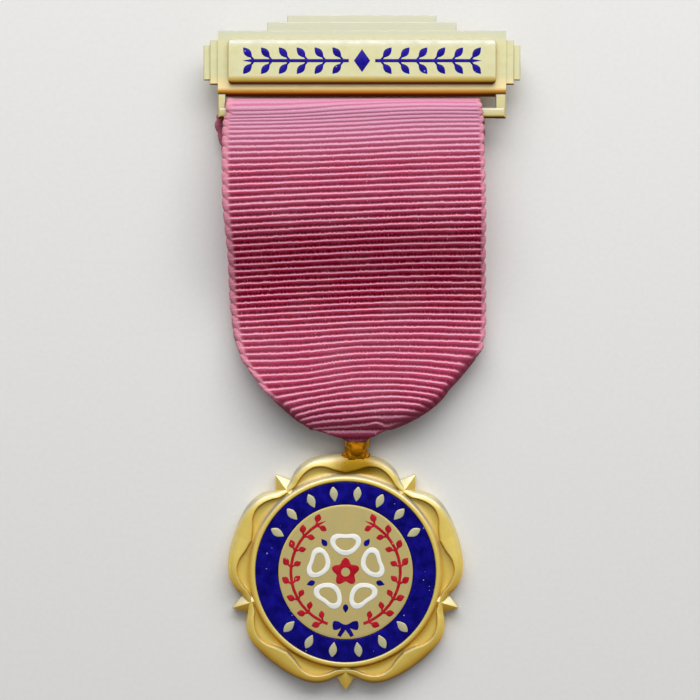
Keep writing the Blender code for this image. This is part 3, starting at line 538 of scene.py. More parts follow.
def times(tree, first, second):
    """The product of two values."""
    return calculate(tree, "MULTIPLY", first, second)


def larger(tree, first, second):
    """The larger of two values."""
    return calculate(tree, "MAXIMUM", first, second)


def noise(tree, place, scale, detail, roughness=0.5):
    """The value of a noise pattern."""
    return add(tree, "ShaderNodeTexNoise", {"Vector": place, "Scale": scale, "Detail": detail,
                                            "Roughness": roughness}).outputs["Fac"]


def blend(tree, factor, first, second, mode="MIX"):
    """The output of a colour mix."""
    first, second = ((*c, 1) if isinstance(c, tuple) else c for c in (first, second))
    return add(tree, "ShaderNodeMix", {0: factor, 6: first, 7: second}, data_type="RGBA",
               blend_type=mode).outputs[2]


def rescale(tree, value, low, high, to_low=0.0, to_high=1.0):
    """A value mapped from one range to another and kept inside it."""
    return add(tree, "ShaderNodeMapRange", {"Value": value, "From Min": low, "From Max": high,
                                            "To Min": to_low, "To Max": to_high}).outputs[0]


def new_group(name, inputs, outputs):
    """An empty node group with float or vector inputs and float outputs."""
    tree = bpy.data.node_groups.new(name, "ShaderNodeTree")
    for label, value in inputs:
        kind = "NodeSocketVector" if value is None else "NodeSocketFloat"
        socket = tree.interface.new_socket(label, in_out="INPUT", socket_type=kind)
        if value is not None:
            socket.default_value = value
    for label in outputs:
        tree.interface.new_socket(label, in_out="OUTPUT", socket_type="NodeSocketFloat")
    return tree, tree.nodes.new("NodeGroupInput").outputs, tree.nodes.new("NodeGroupOutput")


def use_group(tree, group, **inputs):
    """A group placed in a material with its own values. Gives its outputs."""
    named = {key.replace("_", " ").capitalize(): value for key, value in inputs.items()}
    return feed(tree, add(tree, "ShaderNodeGroup", node_tree=group), named).outputs


def satin_grain():
    """Node group: the fine pitting and slow unevenness of struck metal."""
    group = bpy.data.node_groups.get("Satin grain")
    if group:
        return group
    group, given, out = new_group("Satin grain", (("Place", None), ("Grain size", 0.1),
                                                  ("Unevenness", 0.3)), ("Height", "Tone"))
    fine = calculate(group, "DIVIDE", 1.0, given["Grain size"])
    grain = noise(group, given["Place"], fine, 2.0, 0.6)
    slow = noise(group, given["Place"], 0.6, 4.0, 0.6)
    waves = times(group, slow, given["Unevenness"])
    feed(group, out, {"Height": calculate(group, "ADD", grain, waves), "Tone": slow})
    return group


def dust_specks():
    """Node group: small scattered specks, as dust or pinholes."""
    group = bpy.data.node_groups.get("Dust specks")
    if group:
        return group
    group, given, out = new_group("Dust specks", (("Place", None), ("Spacing", 1.0),
                                                  ("Size", 0.1), ("Amount", 0.5)), ("Mask",))
    scale = calculate(group, "DIVIDE", 1.0, given["Spacing"])
    cells = add(group, "ShaderNodeTexVoronoi", {"Vector": given["Place"], "Scale": scale,
                                                "Randomness": 1.0}).outputs
    chance, reach, _ = add(group, "ShaderNodeSeparateColor", {"Color": cells["Color"]}).outputs
    chosen = calculate(group, "LESS_THAN", chance, given["Amount"])
    size = times(group, times(group, given["Size"], scale), reach)
    near = calculate(group, "LESS_THAN", cells["Distance"], size)
    feed(group, out, {"Mask": times(group, chosen, near)})
    return group


def millimetres(tree):
    """Object coordinates counted in millimetres."""
    place = add(tree, "ShaderNodeTexCoord")
    return add(tree, "ShaderNodeMapping", {"Vector": place.outputs["Object"],
                                           "Scale": (1000, 1000, 1000)}).outputs[0]


def attribute(tree, name):
    """A value stored on the piece's own points."""
    return add(tree, "ShaderNodeAttribute", attribute_name=name).outputs["Fac"]


def new_material(name):
    """An empty material with its Principled shader."""
    material = bpy.data.materials.new(name)
    material.use_nodes = True
    return material, material.node_tree, material.node_tree.nodes["Principled BSDF"]


def raise_surface(tree, shader, height, strength, distance):
    """Bump a shader's surface by a pattern. distance is in millimetres."""
    relief = add(tree, "ShaderNodeBump", {"Height": height, "Strength": strength,
                                          "Distance": distance * MM})
    feed(tree, shader, {"Normal": relief.outputs["Normal"]})


def gilt(name, base, patina, roughness, grain_size, bump, settled=False, hollows=0.6,
         metallic=0.75, slopes=0.75, lower=0.0, low_tint=(1.0, 0.74, 0.24), coat=0.0,
         slants=(), zones=()):
    """Gilt metal: fine grain, brown hollows, painted shade on the slopes and a painted highlight on
    the upper slopes.

    hollows says how strongly the hollows turn to patina brown. slopes and lower say how strongly
    every slope, and the slopes that face down the piece, take a painted shade, and low_tint is that
    painted shade's tint. settled adds the patina and stain stored on the piece's points. slants and
    zones are (from, to, colour): how far the surface faces up the piece, and places along it in
    millimetres, between which the gilding turns to another colour. These colours are painted light
    and shade: slants give a painted highlight on the slopes that face up the piece towards the key
    light, and zones lay painted light and shade along the piece.
    """
    material = bpy.data.materials.get(name)
    if material:
        return material
    material, tree, shader = new_material(name)
    place = millimetres(tree)
    grain = use_group(tree, satin_grain(), place=place, grain_size=grain_size, unevenness=0.35)
    specks = use_group(tree, dust_specks(), place=place, spacing=1.1, size=0.09, amount=0.35)
    shade = add(tree, "ShaderNodeAmbientOcclusion", {"Distance": 0.9 * MM}, samples=8,
                only_local=True)
    hollow = rescale(tree, shade.outputs["AO"], 0.40, 0.85, 0.6 * hollows, 0.0)
    if settled:
        hollow = larger(tree, hollow, times(tree, attribute(tree, "patina"), hollows))
    tone = rescale(tree, grain["Tone"], 0.35, 0.65)
    deep, painted_slope_shade = (tuple(c * f for c, f in zip(base, factors))
                     for factors in ((0.96, 0.93, 0.86), (0.92, 0.70, 0.30)))
    wear_and_painted_light = blend(tree, tone, deep, tuple(base))
    normal = add(tree, "ShaderNodeTexCoord").outputs["Normal"]
    facing = add(tree, "ShaderNodeSeparateXYZ", {"Vector": normal}).outputs
    level = calculate(tree, "ABSOLUTE", facing[2])
    # Painted shade: every slope turns a deeper orange as it tilts away from the flat.
    wear_and_painted_light = blend(tree, rescale(tree, level, 0.55, 0.98, slopes, 0.0), wear_and_painted_light, painted_slope_shade)
    height = add(tree, "ShaderNodeSeparateXYZ", {"Vector": place}).outputs[1]
    # Painted light and shade: zones lay colours by the place along the piece, and slants lay a
    # painted highlight by how far the surface faces up the piece, towards the key light.
    for source, steps in ((height, zones), (facing[1], slants)):
        for start, end, turned in steps:
            wear_and_painted_light = blend(tree, rescale(tree, source, start, end), wear_and_painted_light, turned)
    dull = hollow
    if lower:
        # Painted shade on the slopes that face down the piece, away from the key light: tinted by
        # low_tint, and near black where they are steepest.
        under = rescale(tree, facing[1], -0.35, -0.04, lower, 0.0)
        steep = rescale(tree, facing[1], -0.74, -0.36, lower, 0.0)
        wear_and_painted_light = blend(tree, under, wear_and_painted_light, low_tint, "MULTIPLY")
        wear_and_painted_light = blend(tree, steep, wear_and_painted_light, (0.12, 0.04, 0.02), "MULTIPLY")
        dull = larger(tree, dull, steep)
    wear_and_painted_light = blend(tree, hollow, wear_and_painted_light, tuple(patina))
    if settled:
        stain = calculate(tree, "MULTIPLY", attribute(tree, "stain"),
                          rescale(tree, grain["Height"], 0.4, 0.9, 1.1, 0.8), clamp=True)
        wear_and_painted_light = blend(tree, stain, wear_and_painted_light, (0.34, 0.19, 0.010))
        dull = larger(tree, dull, stain)
    wear_and_painted_light = blend(tree, times(tree, specks[0], 0.6), wear_and_painted_light, (0.95, 0.90, 0.75))
    raise_surface(tree, shader, grain["Height"], bump, 0.05)
    feed(tree, shader, {
        "Base Color": wear_and_painted_light, "Specular Tint": wear_and_painted_light, "Coat Roughness": 0.35,
        "Metallic": rescale(tree, dull, 0.0, 1.0, metallic, 0.15),
        "Coat Weight": rescale(tree, dull, 0.0, 0.8, coat, 0.0),
        "Roughness": rescale(tree, tone, 0.0, 1.0, roughness + 0.06, roughness - 0.04)})
    return material


def enamel(name, base, glow, rim_colour, roughness=0.1):
    """Polished enamel: a dark line at its edge, mottled depth, pinholes and a glassy coat."""
    material = bpy.data.materials.get(name)
    if material:
        return material
    material, tree, shader = new_material(name)
    place = millimetres(tree)
    clouds = noise(tree, place, 0.7, 3.0)
    grains = noise(tree, place, 7.0, 2.0, 0.7)
    specks = use_group(tree, dust_specks(), place=place, spacing=0.75, size=0.11, amount=0.4)
    depth = times(tree, rescale(tree, clouds, 0.35, 0.7), rescale(tree, grains, 0.3, 0.75))
    body = blend(tree, depth, tuple(base), tuple(glow))
    body = blend(tree, rescale(tree, attribute(tree, "rim"), 0.05, 0.6), body, tuple(rim_colour))
    body = blend(tree, times(tree, specks[0], 0.5), body, (0.75, 0.75, 0.80))
    raise_surface(tree, shader, clouds, 0.25, 0.1)
    feed(tree, shader, {"Base Color": body, "Roughness": roughness, "Specular IOR Level": 0.10,
                        "Coat Weight": 0.03, "Coat Roughness": 0.05})
    return material


def ribbon_cloth(look):
    """Ribbed silk-faced cloth, read from its own map: millimetres across, ribs along."""
    material, tree, shader = new_material("Ribbed ribbon")
    weave = add(tree, "ShaderNodeUVMap", uv_map="weave").outputs[0]
    band, crest, painted_shade = (attribute(tree, name) for name in ("band", "crest", "painted_shade"))

    def turned(angle, *scale):
        """The weave map turned and stretched."""
        return add(tree, "ShaderNodeMapping", {"Vector": weave, "Rotation": (0, 0, angle),
                                               "Scale": (*scale, 1.0)}).outputs[0]

    # Patterns: strands twisted in the yarn, threads along the ribs, fuzz and slow fading
    yarn = noise(tree, turned(0.45, 3.0, 1.5), 1.7, 2.5, 0.6)
    thread = noise(tree, turned(0.0, 3.6, 0.9), 1.0, 2.0, 0.7)
    fine = noise(tree, weave, 4.0, 2.0, 0.7)
    slow = noise(tree, weave, 0.14, 3.0)
    lint = use_group(tree, dust_specks(), place=turned(0.9, 1.0, 0.36), spacing=0.36, size=0.05,
                     amount=0.45)

    # The painted highlight line along each rib's lit side, wide and high where the ribs crowd below
    # the rail and a little wider on the stretches of the wave that face the light
    count = add(tree, "ShaderNodeSeparateXYZ", {"Vector": weave}).outputs[1]
    sway = times(tree, calculate(tree, "SUBTRACT", thread, 0.5), 0.35)
    phase = calculate(tree, "FRACT", calculate(tree, "ADD", count, sway))
    # Painted light: the body pales and the highlight line widens where the ribs crowd below the
    # rail.
    crowd = rescale(tree, count, 8.0, 19.0, 1.0, 0.0)
    # Painted light: the stretches of the wave that face the light, near the rail and near the tip,
    # are paler.
    painted_wave_light = larger(tree, rescale(tree, count, 24.0, 30.0, 1.0, 0.0),
                   rescale(tree, count, 39.0, 45.0, 0.0, 0.9))
    wide = calculate(tree, "ADD", rescale(tree, crowd, 0.0, 1.0, 0.108, 0.34),
                     times(tree, painted_wave_light, 0.04))
    middle = rescale(tree, crowd, 0.0, 1.0, 0.26, 0.38)
    away = calculate(tree, "ABSOLUTE", calculate(tree, "SUBTRACT", phase, middle))
    line = calculate(tree, "SUBTRACT", 1.0, calculate(tree, "DIVIDE", away, wide), clamp=True)
    line = times(tree, rescale(tree, line, 0.0, 0.4), rescale(tree, yarn, 0.30, 0.55, 0.75, 1.0))
    line = times(tree, line, rescale(tree, painted_shade, 0.0, 1.0, 1.0, 0.0))

    # Colours from the yarn's body up to its painted highlight line: painted shade down each rib's
    # lower side to the groove, the yarn's dark flecks and thread strands, painted light on the
    # stretches that face the light and where the ribs crowd below the rail, the edges' loops and
    # the lint. The painted shade stored on the points darkens the folded edges, the bend round the
    # link and the back run near the rail.
    # Painted shade: dark from the middle of each rib down to the next groove, and wherever the
    # stored painted shade lies.
    low = larger(tree, rescale(tree, phase, 0.50, 0.98), painted_shade)
    lit = times(tree, rescale(tree, thread, 0.44, 0.70, 0.0, 0.4),
                rescale(tree, painted_shade, 0.0, 1.0, 1.0, 0.3))
    bright = blend(tree, rescale(tree, count, 10.0, 28.0), (0.58, 0.27, 0.39),
                   tuple(look.rib_highlight))
    looped = times(tree, band, rescale(tree, crest, 0.1, 0.5, 0.5, 1.0))
    looped = times(tree, looped, rescale(tree, yarn, 0.35, 0.6, 0.55, 1.0))
    looped = times(tree, looped, rescale(tree, painted_shade, 0.0, 1.0, 1.0, 0.25))
    body = tuple(look.yarn)
    for amount, tint in (
            (low, tuple(look.yarn_dark_and_shade)),
            (rescale(tree, fine, 0.50, 0.36, 0.0, 0.25), tuple(look.yarn_dark_and_shade)),
            (lit, (0.55, 0.10, 0.20)),
            # Painted light on the stretches of the wave that face the light.
            (times(tree, painted_wave_light, 0.22), (0.66, 0.17, 0.30)),
            # Painted light where the ribs crowd below the rail.
            (times(tree, crowd, 0.9), (0.60, 0.20, 0.32)),
            (line, bright),
            (rescale(tree, slow, 0.45, 0.7, 0.0, 0.08), (0.62, 0.34, 0.40)),
            (looped, (0.64, 0.25, 0.32)),
            (times(tree, lint[0], 0.6), (0.85, 0.66, 0.68))):
        body = blend(tree, amount, body, tint)
    raise_surface(tree, shader, calculate(tree, "ADD", yarn, fine), 0.5, 0.08)
    feed(tree, shader, {
        "Base Color": body, "Specular Tint": (1.0, 0.72, 0.85, 1),
        "Roughness": rescale(tree, line, 0.0, 1.0, 0.68, 0.42),
        "Specular IOR Level": rescale(tree, line, 0.0, 1.0, 0.03, 0.45),
        "Sheen Weight": 0.02, "Sheen Roughness": 0.4, "Sheen Tint": (1.0, 0.60, 0.75, 1)})
    return material


def satin_metal():
    """The gilt of the bar and its fittings."""
    look = bpy.context.scene.medallion_finish
    # Painted light and shade on the bar: the slants give a pale painted highlight on the slopes
    # that face up the bar, towards the key light; the zones make the top paler, lay a warmer band
    # at the panel's foot and a painted red-brown reflection of the ribbon along the plate's foot,
    # and turn the posts and rail below back to a yellower tone; lower and low_tint give painted
    # shade on the slopes that face down.
    return gilt("Satin gilt", look.bar_gilt, (0.58, 0.33, 0.035), 0.54, 0.11, 0.22, hollows=0.3,
                lower=1.0, low_tint=(1.34, 1.06, 0.34),
                slants=((0.02, 0.14, (0.50, 0.50, 0.40)), (0.16, 0.34, (0.42, 0.42, 0.35)),
                        (0.42, 0.65, (0.58, 0.58, 0.48))),
                zones=((45.6, 47.0, (0.64, 0.64, 0.49)), (40.8, 39.2, (0.96, 0.79, 0.42)),
                       (38.95, 38.3, (0.74, 0.40, 0.10)), (38.06, 38.02, (0.70, 0.63, 0.33))))


def polished_wire():
    """The polished gilt of the pin's needle and the link."""
    look = bpy.context.scene.medallion_finish
    return gilt("Polished gilt", look.wire_gilt, look.patina, 0.22, 0.2, 0.15, metallic=1.0)


def blue_enamel():
    """The deep blue of the ring, the leaves and the bow."""
    look = bpy.context.scene.medallion_finish
    return enamel("Blue enamel", look.blue, (0.016, 0.010, 0.42), (0.003, 0.002, 0.012))


# Brooch bar


class MEDALLION_OT_brooch_bar(bpy.types.Operator):
    """Model the stepped bar with its ears, raised panel and ribbon frame"""

    bl_idname = "medallion.brooch_bar"
    bl_label = "Brooch Bar"
    bl_options = {"REGISTER", "UNDO"}

    def execute(self, context):
        sizes = context.scene.medallion_bar
        half = PLATE_HALF
        step, low_step = BAR_FACE - 0.35 * MM, BAR_FACE - 0.7 * MM
        foot = PLATE_FOOT + 0.25 * MM
        plate = box("stepped_bar", (-half, PLATE_FOOT, BAR_BACK), (half, PLATE_HEAD, BAR_FACE))
        round_edges(plate, lambda e: all(v.co.y < foot and v.co.z > BAR_FACE - 0.1 * MM
                                         for v in e.verts), sizes.plate_round, 8)
        round_edges(plate, lambda e: all(v.co.y > PLATE_HEAD - 0.1 * MM and
                                         v.co.z > BAR_FACE - 0.1 * MM for v in e.verts),
                    sizes.step_round, 3)
        parts = []
        for name, reach, low_y, high_y, face in (
                ("upper_step", 13.85 * MM, PANEL_Y, PLATE_HEAD + 1.33 * MM, step),
                ("top_step", 10.925 * MM, PANEL_Y, BAR_HIGH.y, low_step),
                ("inner_ears", half + 1.2 * MM, PANEL_Y - 3.2 * MM, PANEL_Y + 3.2 * MM, step),
                ("outer_ears", BAR_HIGH.x, PANEL_Y - 2.55 * MM, PANEL_Y + 2.55 * MM, low_step)):
            parts.append(box(name, (-reach, low_y, BAR_BACK), (reach, high_y, face),
                             sizes.step_round, segments=3))
        for name, left, right in (("left_post", -half, -half + 1.1 * MM),
                                  ("right_post", half - 1.5 * MM, half)):
            parts.append(box(name, (left, RAIL_FOOT, BAR_BACK), (right, foot, BAR_FACE - 0.12 * MM),
                             0.22 * MM, segments=3))
        rail = box("rail", (-half + 0.3 * MM, RAIL_FOOT, BAR_BACK),
                   (half - 0.3 * MM, RAIL_FOOT + RAIL_HEIGHT, BAR_FACE))
        round_edges(rail, lambda e: abs(e.verts[0].co.x - e.verts[1].co.x) > half, 0.4 * MM)
        parts.append(rail)
        parts.append(self.panel(sizes, half - 1.5 * MM))
        bar = flatten(smooth(combine(plate, parts)))
        finish_piece(bar, satin_metal(), "satin_gilt", "brooch_bar")
        return {"FINISHED"}

    def panel(self, sizes, half):
        """The raised panel, pillowed towards its long edges."""
        flat, reach = PANEL_HALF - sizes.panel_round, sizes.panel_round
        panel = box("panel", (-half, PANEL_Y - PANEL_HALF, BAR_BACK + 0.6 * MM),
                    (half, PANEL_Y + PANEL_HALF, BAR_HIGH.z), 0.2 * MM, corners=0.65 * MM)
        edit(panel)
        for side in (-1, 1):
            for part in (-0.05, 0, 0.2, 0.38, 0.54, 0.68, 0.79, 0.87):
                bpy.ops.mesh.select_all(action="SELECT")
                bpy.ops.mesh.bisect(plane_co=(0, PANEL_Y + side * (flat + part * reach), 0),
                                    plane_no=(0, 1, 0))
        bpy.ops.object.mode_set(mode="OBJECT")
        for vertex in panel.data.vertices:
            out = max(0.0, (abs(vertex.co.y - PANEL_Y) - flat) / reach)
            if vertex.co.z > BAR_FACE:
                vertex.co.z -= 0.8 * MM * (1 - math.sqrt(max(0.0, 1 - 0.96 * out * out)))
        return panel


class MEDALLION_OT_pin(bpy.types.Operator):
    """Model the pin behind the bar with its hinge and catch"""

    bl_idname = "medallion.pin"
    bl_label = "Pin, Hinge and Catch"
    bl_options = {"REGISTER", "UNDO"}

    def execute(self, context):
        wire = context.scene.medallion_bar.pin_wire
        hinge = PIN_LOW.x + 1.25 * MM
        fittings = smooth(self.fittings(hinge, wire / 2 + 0.3 * MM))
        finish_piece(fittings, satin_metal(), "satin_gilt", "brooch_bar")
        needle = smooth(self.needle(hinge, wire / 2), 40)
        finish_piece(needle, polished_wire(), "bright_gilt", "brooch_pin")
        return {"FINISHED"}

    def fittings(self, hinge, gap):
        """The hinge's two cheeks with their rivet, and the catch."""
        catch = -hinge
        sunk = BAR_BACK + 0.3 * MM
        cheeks = []
        for near in (gap, -gap - 0.6 * MM):
            cheek = box("hinge_cheek", (hinge - 1.3 * MM, PANEL_Y + near, 0),
                        (hinge + 1.3 * MM, PANEL_Y + near + 0.6 * MM, sunk))
            round_edges(cheek, lambda e: all(v.co.z < 0.1 * MM for v in e.verts)
                        and abs(e.verts[0].co.y - e.verts[1].co.y) > 0.3 * MM, 1.1 * MM, 8)
            cheeks.append(cheek)
        rivet = rod("rivet", (hinge, PANEL_Y - gap - 0.75 * MM, PIN_HEIGHT),
                    (hinge, PANEL_Y + gap + 0.75 * MM, PIN_HEIGHT), 0.45 * MM)
        round_edges(rivet, lambda e: abs(e.verts[0].co.y - e.verts[1].co.y) < 0.1 * MM,
                    0.14 * MM, 3)
        back = box("catch_back", (catch - 0.7 * MM, PANEL_Y - gap - 0.55 * MM, 0),
                   (catch + 0.7 * MM, PANEL_Y - gap, sunk))
        lip = box("catch_lip", (catch - 0.7 * MM, PANEL_Y - gap - 0.4 * MM, 0),
                  (catch + 0.7 * MM, PANEL_Y + gap, PIN_HEIGHT - gap))
        for piece in (back, lip):
            round_edges(piece, lambda e: abs(e.verts[0].co.x - e.verts[1].co.x) > 1 * MM,
                        0.12 * MM, 3)
        hinge_part = combine(join("pin_fittings", cheeks), [rivet])
        return join("pin_fittings", [hinge_part, combine(back, [lip])])

    def needle(self, hinge, radius):
        """The needle, drawn to a point, with its eye at the hinge."""
        needle = rod("brooch_needle", (hinge + 1.0 * MM, PANEL_Y, PIN_HEIGHT),
                     (PIN_HIGH.x - 3.0 * MM, PANEL_Y, PIN_HEIGHT), radius)
        work = edit(needle, "FACE")
        for face in work.faces:
            face.select_set(face.normal.x > 0.9)
        bmesh.update_edit_mesh(needle.data)
        for reach, scale in ((1.2, 0.80), (1.0, 0.62), (0.6, 0.45), (0.2, 0.25)):
            bpy.ops.mesh.extrude_region_move(
                TRANSFORM_OT_translate={"value": (reach * MM, 0, 0)})
            bpy.ops.transform.resize(value=(1, scale, scale))
        close_up(needle)
        deselect()
        bpy.ops.mesh.primitive_torus_add(
            major_radius=1.0 * MM, minor_radius=0.25 * MM, major_segments=40,
            minor_segments=16, location=(hinge, PANEL_Y, PIN_HEIGHT),
            rotation=(math.pi / 2, 0, 0))
        eye = bpy.context.object
        eye.scale = (1, 1, 1.75)
        apply_place(eye)
        return combine(needle, [eye])


def leaf_half(length, width, stalk):
    """Half a pointed leaf along +x as (along, across) from its stalk to its rounded tip."""
    half = []
    for t in (0.1, 0.19, 0.28, 0.37, 0.46, 0.55, 0.64, 0.73, 0.82, 0.90):
        half.append(((0.12 + 0.86 * t) * length,
                     max(stalk, width / 2 * math.sin(math.pi * t ** 1.05) ** 0.9)))
    return half + [(0.975 * length, 0.06 * width)]


def leafy_branch(length, pairs, stem, leaf, leaf_width):
    """A branch along +x from its cut end, with leaves in pairs: (along, across)."""
    lean = math.radians(50)
    edge, stalk = stem / 2, 0.16 * leaf_width
    half = leaf_half(leaf, leaf_width, stalk)
    foot = stalk / math.sin(lean)
    sides = []
    for side in (1, -1):
        reach = Vector((math.cos(lean), side * math.sin(lean)))
        across = Vector((-math.sin(lean), side * math.cos(lean)))
        points = [Vector((0, side * edge))]
        for i in range(pairs):
            root = Vector(((i + 0.3) / pairs * length, 0))
            start = root.x + edge / math.tan(lean)
            points.append(Vector((start - foot, side * edge)))
            points += [root + reach * (x + edge) + across * y for x, y in half]
            points += [root + reach * (x + edge) - across * y for x, y in reversed(half)]
            points.append(Vector((start + foot, side * edge)))
            if i < pairs - 1:
                points.append(Vector((start + 0.55 / pairs * length, side * edge)))
        sides.append(points)
    return [tuple(p) for p in sides[0] + [Vector((length, 0))] + sides[1][::-1]]


class MEDALLION_OT_bar_enamel(bpy.types.Operator):
    """Lay the two blue branches and the lozenge in the bar's panel"""

    bl_idname = "medallion.bar_enamel"
    bl_label = "Bar Enamel"
    bl_options = {"REGISTER", "UNDO"}

    def execute(self, context):
        edge = context.scene.medallion_badge.enamel_edge
        proud = context.scene.medallion_badge.enamel_proud
        start, end = 1.9 * MM, PLATE_HALF - 3.55 * MM
        flat = leafy_branch(end - start, 6, 0.5 * MM, 2.3 * MM, 1.05 * MM)
        shapes = [[[(side * (start + x), PANEL_Y + y) for x, y in flat]] for side in (-1, 1)]
        half_x, half_y = 1.2 * MM, 1.7 * MM
        shapes.append([[(half_x, PANEL_Y), (0, PANEL_Y + half_y), (-half_x, PANEL_Y),
                        (0, PANEL_Y - half_y)]])
        face = PANEL_ENAMEL_HIGH.z
        piece = inlay("bar_enamel", shapes, face - 0.4 * MM, face + proud, edge)
        blue = enamel("Bar blue enamel", (0.010, 0.006, 0.22), (0.035, 0.020, 0.48),
                      (0.03, 0.012, 0.02))
        finish_piece(piece, blue, "blue_enamel", "bar_branch_left", "bar_branch_right",
                     "bar_lozenge")
        return {"FINISHED"}


# Ribbon


def front_run(column, places):
    """Readings of the front run's table."""
    return read(FRONT_COLUMNS, FRONT_ROWS, column, places)


def back_run(column, places):
    """Readings of the back run's table."""
    return read(BACK_COLUMNS, BACK_ROWS, column, places)


def rib_hang(sizes, place, across):
    """How far the ribs hang below their middles, through five stations from edge to edge."""
    hangs = {name: front_run(name, place) for name in FRONT_COLUMNS[4:]}
    stations = np.stack([hangs["hang_left"], hangs["hang_near_left"], np.zeros_like(across),
                         hangs["hang_near_right"], hangs["hang_right"]])
    slopes = np.gradient(stations, axis=0)
    first = np.clip((across * 4).astype(int), 0, 3)[None]
    t = np.clip(across * 4 - first[0], 0, 1)
    near, far = (np.take_along_axis(stations, first + k, 0)[0] for k in (0, 1))
    rise, fall = (np.take_along_axis(slopes, first + k, 0)[0] for k in (0, 1))
    return join_up(t, near, far, rise, fall) * sizes.rib_hang


def ribbon_front(sizes, along):
    """The front run's middle surface: its height and slope at places along it."""
    rail_z, link_z = RAIL_MIDDLE + RAIL_BEND, LINK_HEIGHT + LINK_BEND

    def height(place):
        """The middle surface's height."""
        lift = front_run("lift", place)
        return mix(rail_z, link_z, place) + lift * sizes.wave

    step = 0.002
    slope = (height(along + step) - height(along - step)) / (2 * step * sizes.drop)
    return height(along), slope


def ribbon_rows(sizes):
    """Every row round the loop: its run, its place on it and its rib count."""
    runs = ((8, 8, 0.0), (52, 8, sizes.crowding), (4, 8, 0.0), (48, 4, 0.0))
    rows, count = [], 0
    for number, (ribs, steps, crowding) in enumerate(runs):
        ribs_along = np.arange(ribs * steps) / steps
        pitch = 1 - crowding * np.exp(-((ribs_along + 1.5) / 7.5) ** 2)
        ends = np.cumsum(pitch)
        for i, place in enumerate((ends - pitch) / ends[-1]):
            rows.append((number, place, count + i / steps))
        count += ribs
    return np.array(rows), count


